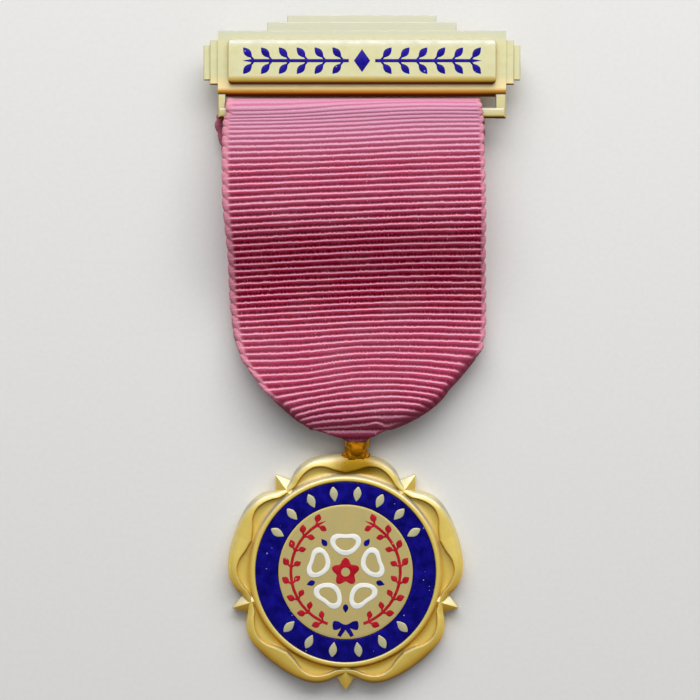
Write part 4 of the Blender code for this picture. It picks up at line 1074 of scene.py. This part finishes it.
def ribbon_mesh(sizes):
    """The ribbon's closed loop: points, faces, the weave map and the attributes."""
    rows, total = ribbon_rows(sizes)
    run, place, ribs = rows[:, 0], rows[:, 1], rows[:, 2]
    wrap_y, link_y = RAIL_FOOT + 0.9 * MM, LINK_TOP
    tip = 1.1 * MM
    tip_left, tip_right = NECK_X - tip, NECK_X + tip
    ribbon_left = SLOT_LEFT - 0.5 * MM
    ribbon_right = ribbon_left + sizes.width
    at_front = [front_run(side, np.array(0.0)) for side in ("left", "right")]
    at_tip = [FRONT_ROWS[-1][2], FRONT_ROWS[-1][3]]

    def edges(left_share, right_share):
        """The two edges' places for shares of the full width."""
        return (mix(tip_left, ribbon_left, left_share), mix(tip_right, ribbon_right, right_share))

    turn = np.where(run == 0, mix(-90, 90, place), 0)
    spread = np.clip((np.abs(turn) - 50) / 40, 0, 1)
    front_left, front_right = edges(*at_front)
    left, right = np.zeros(len(rows)), np.zeros(len(rows))
    pick = run == 0
    left[pick] = mix(SLOT_LEFT, front_left, spread)[pick]
    right[pick] = mix(front_right - 0.3 * MM, front_right, spread)[pick]
    pick = run == 1
    left[pick], right[pick] = edges(front_run("left", place[pick]), front_run("right", place[pick]))
    pick = run == 2
    narrow = read(LINK_COLUMNS, LINK_ROWS, "width", place[pick])
    left[pick], right[pick] = edges(at_tip[0] * narrow, at_tip[1] * narrow)
    pick = run == 3
    left[pick], right[pick] = edges(back_run("left", place[pick]), back_run("right", place[pick]))

    outer_steps = np.array([0, 0.05, 0.15, 0.3, 0.5, 0.7, 0.85, 1.0, 1.3, 1.9, 2.7]) * MM
    inner_steps = np.array([0.06, 0.3, 1.2]) * MM
    width = right - left
    squeeze = np.minimum(1, width / (7.0 * MM))[:, None]

    def columns(steps, inside):
        """Distances from the left edge: close together at both edges."""
        near = steps[None, :] * squeeze
        middle = np.linspace(0, 1, inside + 2)[1:-1][None, :]
        start, end = near[:, -1:], width[:, None] - near[:, -1:]
        return np.hstack([near, start + (end - start) * middle, width[:, None] - near[:, ::-1]])

    outer = columns(outer_steps, 80)
    inner = columns(inner_steps, 20)[:, ::-1]
    from_left = np.hstack([outer, inner])
    side = np.hstack([np.ones_like(outer), -np.ones_like(inner)])
    shape = from_left.shape
    run, place, ribs = (np.repeat(v[:, None], shape[1], 1) for v in (run, place, ribs))
    across = from_left / width[:, None]
    to_edge = np.minimum(from_left, width[:, None] - from_left)
    on_left = from_left < width[:, None] / 2

    # Selvedge above the folds, folded edges below them
    folded = np.where(run == 1, np.where(on_left, ease(place, 0.85, 0.90), ease(place, 0.74, 0.78)),
                      np.where(run == 3, 1 - ease(place, 0.18, 0.30), (run == 2) * 1.0))
    looped = 1 - folded
    edge_band = sizes.edge_band * np.where(on_left, 1.15, 0.75)
    band = (1 - ease(to_edge, edge_band * 0.7, edge_band * 1.1)) * looped

    # Ribs, and the loops that join them in pairs at the edges
    sway = 0.4 * (0.045 * np.sin(0.9 * from_left / MM + 1.7 * ribs)
                  + 0.03 * np.sin(2.3 * from_left / MM + 0.6 * np.floor(ribs) * 2.4))
    phase = (ribs + sway) % 1
    crest = np.abs(np.sin(np.pi * phase)) ** 0.75
    inside = np.clip(to_edge / edge_band, 0, 1)
    pair = ((ribs + np.where(on_left, 1, 0) - 0.8 * inside) / 2) % 1
    pair_crest = np.abs(np.sin(np.pi * pair)) ** 0.5
    uneven = 1 + 0.10 * np.sin(np.floor(ribs) * 12.9898)
    crest_all = mix(crest, pair_crest, band)
    half = sizes.thick / 2
    pressed = 1 - 0.55 * (1 - ease(ribs, 11, 22)) * (run <= 1)
    depth = sizes.rib_depth * uneven * pressed * np.where(side > 0, 1, 0.7)
    rise = half - depth * (1 - crest_all) + band * 0.05 * MM
    edge_round = np.sqrt(np.clip(1 - (1 - np.clip(to_edge / (0.42 * MM), 0, 1)) ** 2, 0, 1))
    offset = side * rise * edge_round
    reach = np.where(on_left, 0.55, 1.0) * sizes.scallop
    bulge = (np.sqrt(np.clip(1 - (2 * pair - 1) ** 2, 0, 1)) - 0.55) * reach
    bulge = bulge * (1 - ease(to_edge, 0.2 * MM, 1.0 * MM)) * looped
    sideways = np.where(on_left, -bulge, bulge)

    # The front run, with its folded edges drawn back and its crumple near the tip. run_on is
    # the length along the ribbon from the end of the bend round the rail.
    fold = mix(2.2, np.where(on_left, 1.8, 4.2), ease(place, 0.86, 0.96) * (run == 1)) * MM
    curl = (1 - np.clip(to_edge / fold, 0, 1)) ** 2
    shift = curl * folded * 0.7 * MM * (1 - ease(place, 0.90, 0.99))
    hang = rib_hang(sizes, np.where(run == 1, place, 0), across)
    bend_length = math.pi * RAIL_BEND
    run_on = np.where(run == 1, place * sizes.drop + hang + shift,
                      (place - 1) * bend_length + hang * ease(place, 0.45, 0.85))
    along = np.maximum(run_on, 0) / sizes.drop
    front_z, slope = ribbon_front(sizes, along)
    sunk_left, sunk_right = edges(front_run("left", along), front_run("right", along))
    run_of = np.sqrt(1 + slope ** 2)
    x_front = mix(sunk_left, sunk_right, across)
    y_front = wrap_y - along * sizes.drop + slope / run_of * offset
    z_front = front_z + offset / run_of - curl * (0.12 + 0.95 * folded) * MM
    dip = np.exp(-((x_front - 3.7 * MM) / (1.2 * MM)) ** 2
                 - ((y_front + 10.2 * MM) / (1.0 * MM)) ** 2)
    ridge = np.exp(-((x_front - 2.2 * MM) / (0.9 * MM)) ** 2
                   - ((y_front + 10.5 * MM) / (0.9 * MM)) ** 2)
    y_front = y_front - 0.4 * MM * dip + 0.25 * MM * ridge
    z_front = z_front - 0.5 * MM * dip + 0.3 * MM * ridge

    # The bends round the rail and the link, and the back run
    x_row = left[:, None] + from_left
    rail_turn = math.pi / 2 + np.minimum(run_on, 0) / RAIL_BEND
    link_turn = np.radians(mix(90, 270, place))
    back_rise = back_run("rise", place)
    low_z, high_z = LINK_HEIGHT - LINK_BEND, RAIL_MIDDLE - RAIL_BEND
    wrapped = (run <= 1) & (run_on < 0)
    outside = LINK_BEND + half
    slack = (outside + sizes.slack) / outside
    stretches = [wrapped, run <= 1, run == 2, run == 3]
    y = np.select(stretches, [
        wrap_y + (RAIL_BEND + offset) * np.cos(rail_turn), y_front,
        link_y + (LINK_BEND + offset) * np.cos(link_turn) * slack, mix(link_y, wrap_y, place)])
    z = np.select(stretches, [
        RAIL_MIDDLE + (RAIL_BEND + offset) * np.sin(rail_turn), z_front,
        LINK_HEIGHT + (LINK_BEND + offset) * np.sin(link_turn),
        mix(low_z, high_z, back_rise) - offset])
    x = np.where(run == 1, x_front, x_row) + sideways
    points = np.stack([x, y, z], -1).reshape(-1, 3)

    def corners(row, next_row):
        """The four corners' values of every face between a row and the next."""
        return np.stack([row, np.roll(row, -1, 1), np.roll(next_row, -1, 1), next_row], -1)

    index = np.arange(shape[0] * shape[1]).reshape(shape)
    faces = corners(index, np.roll(index, -1, 0))
    u = np.where(side > 0, x, -x) / MM
    next_ribs = np.roll(ribs, -1, 0)
    next_ribs[-1] = total
    weave = np.stack([corners(u, np.roll(u, -1, 0)),
                      corners(ribs + sway, next_ribs + np.roll(sway, -1, 0))], -1).reshape(-1, 2)
    # Painted shade: the folded edges that curl away, the bend round the link and the back run where
    # it nears the rail.
    painted_shade = np.maximum(np.clip(2.6 * curl * folded, 0, 1),
                     np.where(run == 2, ease(place, 0, 0.15) * 0.8,
                              np.where(run == 3, ease(place, 0.82, 0.9) * 0.75, 0)))
    return points, faces.reshape(-1, 4), weave, (crest_all, band, painted_shade)


class MEDALLION_OT_ribbon(bpy.types.Operator):
    """Model the ribbed ribbon folded over the rail and drawn to a point at the link"""

    bl_idname = "medallion.ribbon"
    bl_label = "Ribbon"
    bl_options = {"REGISTER", "UNDO"}

    def execute(self, context):
        sizes, look = context.scene.medallion_ribbon, context.scene.medallion_finish
        points, faces, weave, stores = ribbon_mesh(sizes)
        mesh = bpy.data.meshes.new("ribbed_ribbon")
        mesh.from_pydata(points.tolist(), [], faces.tolist())
        layer = mesh.uv_layers.new(name="weave")
        layer.data.foreach_set("uv", weave.ravel())
        for name, values in zip(("crest", "band", "painted_shade"), stores):
            stored = mesh.attributes.new(name, "FLOAT", "POINT")
            stored.data.foreach_set("value", values.ravel())
        piece = bpy.data.objects.new("ribbed_ribbon", mesh)
        context.scene.collection.objects.link(piece)
        edit(piece)
        bpy.ops.mesh.select_all(action="SELECT")
        bpy.ops.mesh.normals_make_consistent(inside=False)
        bpy.ops.object.mode_set(mode="OBJECT")
        bpy.ops.object.shade_smooth()
        finish_piece(piece, ribbon_cloth(look), "maroon_ribbon", "ribbon")
        return {"FINISHED"}


class MEDALLION_OT_link(bpy.types.Operator):
    """Bend the wire link through the ribbon's fold and the badge's eyelet"""

    bl_idname = "medallion.link"
    bl_label = "Ribbon Link"
    bl_options = {"REGISTER", "UNDO"}

    def execute(self, context):
        half = 1.5 * MM
        foot = 1.375 * MM
        knee = LINK_TOP - 1.675 * MM
        corners = [Vector(p) for p in ((-half, LINK_TOP), (half, LINK_TOP), (half, knee),
                                       (foot, LINK_FOOT), (-foot, LINK_FOOT), (-half, knee))]
        points = []
        for i, corner in enumerate(corners):
            before = (corners[i - 1] - corner).normalized() * 0.55 * MM
            after = (corners[(i + 1) % 6] - corner).normalized() * 0.55 * MM
            for t in (0, 0.17, 0.33, 0.5, 0.67, 0.83, 1):
                near, far = corner + before * (1 - t), corner + after * t
                bend = near.lerp(far, t)
                points.append((NECK_X + bend.x, bend.y, LINK_HEIGHT))
        link = curve_piece("ribbon_wire_link", [points], dimensions="3D",
                           bevel_depth=LINK_WIRE / 2, bevel_resolution=5)
        finish_piece(smooth(link, 40), polished_wire(), "bright_gilt", "ribbon_link")
        return {"FINISHED"}


# Rose badge


def petal(column, degrees):
    """A petal table's column at angles round the badge."""
    half = 180 / PETALS
    turn = (degrees - 90 + half) % (2 * half) - half
    return read(PETAL_COLUMNS, PETAL_ROWS, column, np.abs(turn) / half)


def badge_rings(sizes, degrees):
    """Each ring of the badge from the disc's edge to the back: radii, heights and patina."""
    same = np.ones_like(degrees)
    rings = [(radius * MM * same, height * MM * same, patina * same)
             for radius, height, patina in FACE_ROWS]
    pocket_edge = FACE_ROWS[-1][0] * MM
    fold, reach = (POCKET_RADIUS + petal(column, degrees) * sizes.petal_width
                   for column in ("fold", "reach"))
    swell = petal("swell", degrees)
    for part in (0.3, 0.6, 0.88):
        radius = mix(pocket_edge, fold, part)
        dip = math.sin(math.pi * part) * 0.12 * MM * np.clip((fold - pocket_edge) / MM, 0, 1)
        rings.append((radius, sizes.pocket - dip, (1 - part) * 0.3 * same))
    for part in (0, 0.03, 0.07, 0.12, 0.18, 0.26, 0.35, 0.45, 0.55, 0.65, 0.74, 0.82, 0.89,
                 0.94, 0.98, 1):
        rise = read(EDGE_COLUMNS, EDGE_ROWS, "rise", np.array(part))
        height = mix(sizes.outline, sizes.crest, rise)
        height = np.where(rise * same > 0.5, mix(sizes.pocket, height, swell), height)
        line = max(0.0, 1 - abs(part - 0.02) / 0.08)
        rings.append((mix(fold, reach, part), height, line * 0.8 * same))
    for inset, height in ((-0.02, 0.9), (-0.02, 0.35), (0.06, 0.12), (0.25, 0.0),
                          (0.7, 0.0)):
        rings.append((reach - inset * MM, height * MM * same, 0.1 * same))
    return rings


class MEDALLION_OT_rose_badge(bpy.types.Operator):
    """Raise the struck rose from its disc out to the petals, with barbs and eyelet"""

    bl_idname = "medallion.rose_badge"
    bl_label = "Rose Badge"
    bl_options = {"REGISTER", "UNDO"}

    def execute(self, context):
        look = context.scene.medallion_finish
        badge = self.relief(context.scene.medallion_badge)
        # Painted highlight: the slants pale the slopes that face up the badge, towards the key
        # light. Painted shade: slopes and lower deepen every slope and darken those that face down.
        metal = gilt("Struck gilt", look.gilt, look.patina, 0.48, 0.16, 0.45, settled=True,
                     hollows=0.6, metallic=0.6, slopes=0.15, lower=0.75, coat=0.05,
                     slants=((0.12, 0.38, (0.76, 0.68, 0.40)), (0.34, 0.50, (0.54, 0.50, 0.36)),
                             (0.60, 0.78, (0.74, 0.66, 0.40))))
        disc = gilt("Matt disc gilt", look.disc_gilt, look.patina, 0.5, 0.09, 0.5, hollows=0.3)
        finish_piece(badge, metal, "satin_gilt", "rose_badge")
        badge.data.materials.append(disc)
        disc_edge = DISC_RADIUS - 0.15 * MM
        for polygon in badge.data.polygons:
            near = (Vector(polygon.center.xy) - BADGE_CENTRE.xy).length
            polygon.material_index = int(near < disc_edge and polygon.normal.z > 0.5)
        finish_piece(self.barbs(), metal, "satin_gilt", "rose_badge")
        solder = gilt("Soldered gilt", look.solder, look.patina, 0.55, 0.3, 1.6, hollows=0.2,
                      metallic=0.5)
        finish_piece(self.eyelet(), solder, "satin_gilt", "rose_badge")
        return {"FINISHED"}

    def relief(self, sizes):
        """The rose's body, its edge extruded ring after ring and set by the tables."""
        count = 720
        degrees = np.arange(count) * 360 / count
        rings = badge_rings(sizes, degrees)
        deselect()
        bpy.ops.mesh.primitive_circle_add(vertices=count, radius=rings[0][0][0],
                                          fill_type="NGON", location=BADGE_CENTRE)
        piece = bpy.context.object
        piece.name = "rose_relief"
        apply_place(piece)
        for name in ("patina", "stain"):
            piece.data.attributes.new(name, "FLOAT", "POINT")
        edit(piece, "VERT")
        bpy.ops.mesh.select_all(action="SELECT")
        for number, (radii, heights, patina) in enumerate(rings):
            if number:
                bpy.ops.mesh.extrude_edges_move()
            work = bmesh.from_edit_mesh(piece.data)
            settled, stained = (work.verts.layers.float[name] for name in ("patina", "stain"))
            for vertex in work.verts:
                if not vertex.select:
                    continue
                out = vertex.co.xy - BADGE_CENTRE.xy
                i = round(math.degrees(math.atan2(out.y, out.x)) * count / 360) % count
                vertex.co = (*polar(radii[i], degrees[i]), heights[i])
                vertex[settled] = patina[i]
                off = Vector((vertex.co.x - NECK_X, (vertex.co.y + 16.8 * MM) * 1.2)).length
                stain = 1.2 * math.exp(-(off / (3.6 * MM)) ** 3)
                vertex[stained] = stain if number >= len(FACE_ROWS) else 0.0
            bmesh.update_edit_mesh(piece.data)
        bpy.ops.mesh.edge_face_add()
        return smooth(close_up(piece), 38)

    def barbs(self):
        """The five pointed sepals between the petals, each with a ridge and two facets."""
        root, tip, half = 13.85 * MM, 17.6 * MM, 1.75 * MM
        deselect()
        bpy.ops.mesh.primitive_cone_add(vertices=4, radius1=1, radius2=0, depth=1,
                                        end_fill_type="NGON")
        piece = bpy.context.object
        work = edit(piece, "FACE")
        base = sorted((v for v in work.verts if v.co.z < 0),
                      key=lambda v: math.atan2(v.co.y, v.co.x) % (2 * math.pi))
        apex = next(v for v in work.verts if v.co.z > 0)
        wide = mix(root, tip, 0.30)
        for vertex, place in zip(base, ((tip, 0, 1.70 * MM), (wide, half, 1.55 * MM),
                                        (root, 0, 1.55 * MM), (wide, -half, 1.55 * MM))):
            vertex.co = place
        apex.co = (root, 0, 2.60 * MM)
        for face in work.faces:
            face.select_set(all(v in base for v in face.verts))
        bmesh.update_edit_mesh(piece.data)
        bpy.ops.mesh.extrude_region_move(
            TRANSFORM_OT_translate={"value": (0, 0, -1.4 * MM)})
        close_up(piece)
        round_edges(piece, lambda e: True, 0.06 * MM, 2)
        piece.rotation_euler = (0, 0, math.radians(90 - 180 / PETALS))
        piece.location = BADGE_CENTRE
        apply_place(piece)
        return smooth(copies_round(piece, PETALS, "rose_sepals"), 25)

    def eyelet(self):
        """The soldered ring on the top petal that holds the link."""
        deselect()
        bpy.ops.mesh.primitive_torus_add(
            major_radius=0.93 * MM, minor_radius=0.25 * MM, major_segments=48,
            minor_segments=20, location=(NECK_X, LINK_FOOT, LINK_HEIGHT),
            rotation=(0, math.pi / 2, 0))
        ring = bpy.context.object
        ring.scale = (1, 1, 3.6)
        apply_place(ring)
        lumps = [self.lump((NECK_X + x * MM, LINK_FOOT + y * MM, LINK_HEIGHT + z * MM),
                           (a * MM, b * MM, c * MM))
                 for x, y, z, a, b, c in ((-0.10, 0.05, -0.05, 1.55, 1.75, 0.95),
                                          (-1.50, -0.95, -0.1, 0.75, 0.6, 0.6),
                                          (1.35, -1.10, -0.1, 0.60, 0.65, 0.6))]
        piece = combine(ring, lumps)
        piece.name = "eyelet"
        return smooth(piece, 60)

    def lump(self, place, reach):
        """A rounded grain of solder with an uneven skin."""
        deselect()
        bpy.ops.mesh.primitive_ico_sphere_add(subdivisions=5, radius=1, location=(0, 0, 0))
        piece = bpy.context.object
        edit(piece)
        for seed, unevenness, smoothing in ((3, 0.06, 0.5), (8, 0.03, 0.3)):
            bpy.ops.mesh.select_all(action="SELECT")
            bpy.ops.transform.vertex_random(offset=unevenness, uniform=0.0, normal=1.0,
                                            seed=seed)
            bpy.ops.mesh.vertices_smooth(factor=smoothing)
        bpy.ops.mesh.select_all(action="DESELECT")
        bpy.ops.object.mode_set(mode="OBJECT")
        for vertex in piece.data.vertices:
            x, y, z = vertex.co
            swell = (1 + 0.10 * math.sin(5 * x + 1) * math.cos(6 * y)
                     + 0.06 * math.sin(13 * x + 3 * y) * math.cos(12 * y - 5 * z)
                     + 0.05 * math.sin(17 * y + 8 * x + 2) * math.cos(15 * z + 9 * x))
            blunt = 1 / max(abs(x), abs(y), abs(z)) ** 0.35
            vertex.co *= swell * blunt
        piece.scale = reach
        piece.location = place
        apply_place(piece)
        return piece


def pointed_leaf(places, width, lean, blunt=1.0):
    """A pointed leaf's outline along +x, through places from its foot (0) to its tip (1)."""
    widths = [(t, width * math.sin(math.pi * t ** lean) ** blunt) for t in places]
    return [(t, -w) for t, w in widths] + [(t, w) for t, w in reversed(widths)]


def rose_petal(number):
    """A white petal drawn as a broad line: its outline and the hole in it."""
    disc = DISC_RADIUS
    turn = Matrix.Rotation(math.radians(90 + number * 360 / PETALS), 2)
    outlines = []
    for inset, points in ((0, 56), (0.081, 44)):
        reach, half = (0.178 - inset) * disc, (0.228 - inset) * disc
        outline = []
        for i in range(points):
            angle = 2 * math.pi * i / points
            notch = 0.2 * reach * max(0, math.cos(angle)) ** 12
            x = 0.421 * disc + reach * math.cos(angle) - notch
            y = half * (1 + 0.25 * math.cos(angle)) * math.sin(angle)
            outline.append(tuple(turn @ Vector((x, y)) + BADGE_CENTRE.xy))
        outlines.append(outline[::-1] if inset else outline)
    return outlines


def rose_leaf(number):
    """A blue leaf between two white petals."""
    disc = DISC_RADIUS
    turn = Matrix.Rotation(math.radians(90 + (number + 0.5) * 360 / PETALS), 2)
    points = pointed_leaf((0.02, 0.1, 0.22, 0.36, 0.5, 0.65, 0.8, 0.92, 0.98), 0.043, 0.75)
    return [[tuple(turn @ Vector((0.477 + 0.137 * t, w)) * disc + BADGE_CENTRE.xy)
             for t, w in points]]


def rose_heart():
    """The red heart of the flower: its lobed outline and the round hole for the boss."""
    outline = []
    for i in range(80):
        angle = 360 * i / 80
        lobe = 1 + 0.2 * math.cos(math.radians(PETALS * (angle - 90)))
        outline.append(polar(0.178 * DISC_RADIUS * lobe, angle))
    return [outline, [polar(0.65 * MM, -12 * i) for i in range(30)]]


def wreath_branch(side):
    """One red branch of the wreath, bent round the rose from the bow up."""
    disc = DISC_RADIUS
    bend = 0.817 * disc
    first, last = 251, 110
    flat = leafy_branch(math.radians(first - last) * bend, 8, 0.046 * disc, 0.157 * disc,
                        0.096 * disc)
    points = []
    for along, across in flat:
        x, y = polar(bend + across, first - math.degrees(along / bend), Vector((0, 0)))
        points.append((BADGE_CENTRE.x + side * x, BADGE_CENTRE.y + y))
    return [points]


def bow():
    """The blue bow that ties the wreath: two loops and two tails round a knot."""
    half = ((0.0, 0.22), (0.14, 0.25), (0.28, 0.34), (0.55, 0.55), (0.82, 0.62), (0.95, 0.55),
            (1.0, 0.38), (1.02, 0.12), (1.0, -0.14), (0.94, -0.30), (0.84, -0.36),
            (0.60, -0.30), (0.36, -0.16), (0.52, -0.52), (0.66, -0.90), (0.53, -0.96),
            (0.40, -1.08), (0.20, -0.70), (0.0, -0.34))
    reach, height, middle = 1.9 * MM, 1.45 * MM, BADGE_CENTRE.y - 8.05 * MM
    points = []
    for side, rows in ((1, half), (-1, half[-2:0:-1])):
        for across, up in rows:
            points.append((BADGE_CENTRE.x + side * across * reach, middle + up * height))
    return [points]


class MEDALLION_OT_flower(bpy.types.Operator):
    """Lay the white, red and blue enamel flower and its wreath on the disc"""

    bl_idname = "medallion.flower"
    bl_label = "Disc Enamel"
    bl_options = {"REGISTER", "UNDO"}

    def execute(self, context):
        look, sizes = context.scene.medallion_finish, context.scene.medallion_badge
        low, high = DISC_FACE - 0.4 * MM, DISC_FACE + sizes.enamel_proud
        edge = sizes.enamel_edge
        red = enamel("Red enamel", look.red, (0.70, 0.03, 0.05), (0.05, 0.002, 0.003))
        white = enamel("White enamel", look.white, (0.92, 0.91, 0.86), (0.42, 0.38, 0.30), 0.16)
        groups = (
            ("white_petals", [rose_petal(n) for n in range(PETALS)], white, "white_enamel",
             [f"rose_petal_{n + 1}" for n in range(PETALS)]),
            ("blue_leaves", [rose_leaf(n) for n in range(PETALS)], blue_enamel(), "blue_enamel",
             [f"rose_barb_{n + 1}" for n in range(PETALS)]),
            ("red_heart", [rose_heart()], red, "red_enamel", ["rose_heart"]),
            ("red_wreath", [wreath_branch(1), wreath_branch(-1)], red, "red_enamel",
             ["wreath_left", "wreath_right"]),
            ("blue_bow", [bow()], blue_enamel(), "blue_enamel", ["wreath_bow"]),
        )
        for name, shapes, material, slot, nodes in groups:
            finish_piece(inlay(name, shapes, low, high, edge), material, slot, *nodes)
        return {"FINISHED"}


class MEDALLION_OT_ring(bpy.types.Operator):
    """Lay the blue ring round the disc with its gilt leaves"""

    bl_idname = "medallion.ring"
    bl_label = "Enamel Ring and Leaves"
    bl_options = {"REGISTER", "UNDO"}

    def execute(self, context):
        sizes = context.scene.medallion_badge
        edge = sizes.enamel_edge
        outer = [polar(RING_OUTER, i) for i in range(0, 360, 2)]
        inner = [polar(RING_INNER, -i) for i in range(0, 360, 2)]
        ring = inlay("blue_ring", [[outer, inner]], RING_LOW.z, DISC_FACE, 1.8 * edge)
        finish_piece(ring, blue_enamel(), "blue_enamel", "enamel_ring")
        upper = [mix(150, 30, i / 7) for i in range(8)]
        lower = [mix(224, 316, i / 5) for i in range(6)]
        points = pointed_leaf((0.04, 0.1, 0.18, 0.3, 0.42, 0.55, 0.68, 0.8, 0.9, 0.97), 0.60,
                              1.15, 0.9)
        shapes = []
        for angle in upper + lower:
            turn = Matrix.Rotation(math.radians(angle), 2)
            shapes.append([[tuple(turn @ Vector(((10.40 + 2.31 * t) * MM, w * MM))
                                  + BADGE_CENTRE.xy) for t, w in points]])
        leaves = inlay("ring_leaves", shapes, DISC_FACE - 0.3 * MM,
                       DISC_FACE + 0.06 * MM, 0.07 * MM)
        look = context.scene.medallion_finish
        leaf = gilt("Leaf gilt", look.bar_gilt, look.patina, 0.5, 0.1, 0.25, hollows=0.3)
        finish_piece(leaves, leaf, "satin_gilt", "rose_badge")
        return {"FINISHED"}


# Stage


class MEDALLION_OT_stage(bpy.types.Operator):
    """Set the pale floor, the soft lights and the camera straight above"""

    bl_idname = "medallion.stage"
    bl_label = "Stage"
    bl_options = {"REGISTER", "UNDO"}

    def execute(self, context):
        stage = context.scene.medallion_stage
        deselect()
        bpy.ops.mesh.primitive_plane_add(size=3.0, location=(0, 0, 0))
        floor = context.object
        floor.name = "floor"
        material, tree, shader = new_material("Pale floor")
        tone = rescale(tree, noise(tree, millimetres(tree), 1.5, 4.0), 0.3, 0.7, 0.97, 1.0)
        shade = blend(tree, tone, (0, 0, 0), tuple(stage.floor))
        feed(tree, shader, {"Base Color": shade, "Roughness": 0.85})
        floor.data.materials.append(material)
        self.light("Key light", (0.06, 0.51, 0.36), (1.05, 0.33), stage.key_power)
        self.light("Top light", (-0.04, 0.28, 0.48), (0.34, 0.26), stage.top_power)
        world = bpy.data.worlds.new("Soft studio")
        world.use_nodes = True
        sky = world.node_tree.nodes["Background"]
        sky.inputs["Color"].default_value = (0.97, 0.98, 1.0, 1)
        sky.inputs["Strength"].default_value = stage.fill
        context.scene.world = world
        context.scene.view_settings.view_transform = "Standard"
        camera = bpy.data.cameras.new("Camera")
        camera.type = "PERSP"
        camera.lens = stage.lens
        camera.sensor_width = 36.0
        camera.clip_start = 0.01
        holder = bpy.data.objects.new("Camera", camera)
        holder.location = (-1.75 * MM, 0.6 * MM, stage.camera_height)
        context.scene.collection.objects.link(holder)
        context.scene.camera = holder
        return {"FINISHED"}

    def light(self, name, place, size, power):
        """A broad soft light aimed at the middle of the medallion."""
        deselect()
        bpy.ops.object.light_add(type="AREA", location=place)
        lamp = bpy.context.object
        lamp.name = name
        lamp.data.shape = "RECTANGLE"
        lamp.data.size, lamp.data.size_y = size
        lamp.data.energy = power
        lamp.rotation_euler = Vector(place).to_track_quat("Z", "Y").to_euler()


# Panel and registration


STEPS = (
    MEDALLION_OT_brooch_bar,
    MEDALLION_OT_bar_enamel,
    MEDALLION_OT_pin,
    MEDALLION_OT_ribbon,
    MEDALLION_OT_link,
    MEDALLION_OT_rose_badge,
    MEDALLION_OT_ring,
    MEDALLION_OT_flower,
    MEDALLION_OT_stage,
)
GROUPS = (
    ("medallion_bar", MedallionBarSettings),
    ("medallion_ribbon", MedallionRibbonSettings),
    ("medallion_badge", MedallionBadgeSettings),
    ("medallion_finish", MedallionFinishSettings),
    ("medallion_stage", MedallionStageSettings),
)


class MEDALLION_PT_panel(bpy.types.Panel):
    """The medallion's pieces and settings"""

    bl_idname = "MEDALLION_PT_panel"
    bl_label = "Ribbon Medallion"
    bl_space_type = "VIEW_3D"
    bl_region_type = "UI"
    bl_category = "Medallion"

    def draw(self, context):
        for step in STEPS:
            self.layout.operator(step.bl_idname)
        for name, group in GROUPS:
            column = self.layout.box().column()
            column.label(text=group.__doc__.rstrip("."))
            for setting in group.__annotations__:
                column.prop(getattr(context.scene, name), setting)


def register():
    """Register the settings, the operators and the panel."""
    for name, group in GROUPS:
        bpy.utils.register_class(group)
        setattr(bpy.types.Scene, name, bpy.props.PointerProperty(type=group))
    for entry in (*STEPS, MEDALLION_PT_panel):
        bpy.utils.register_class(entry)


def unregister():
    """Take the panel, the operators and the settings away again."""
    for entry in (MEDALLION_PT_panel, *reversed(STEPS)):
        bpy.utils.unregister_class(entry)
    for name, group in reversed(GROUPS):
        delattr(bpy.types.Scene, name)
        bpy.utils.unregister_class(group)


def main():
    """Register the add-on and make every piece."""
    register()
    for step in STEPS:
        owner, action = step.bl_idname.split(".")
        getattr(getattr(bpy.ops, owner), action)()
    deselect()


if __name__ == "__main__":
    main()
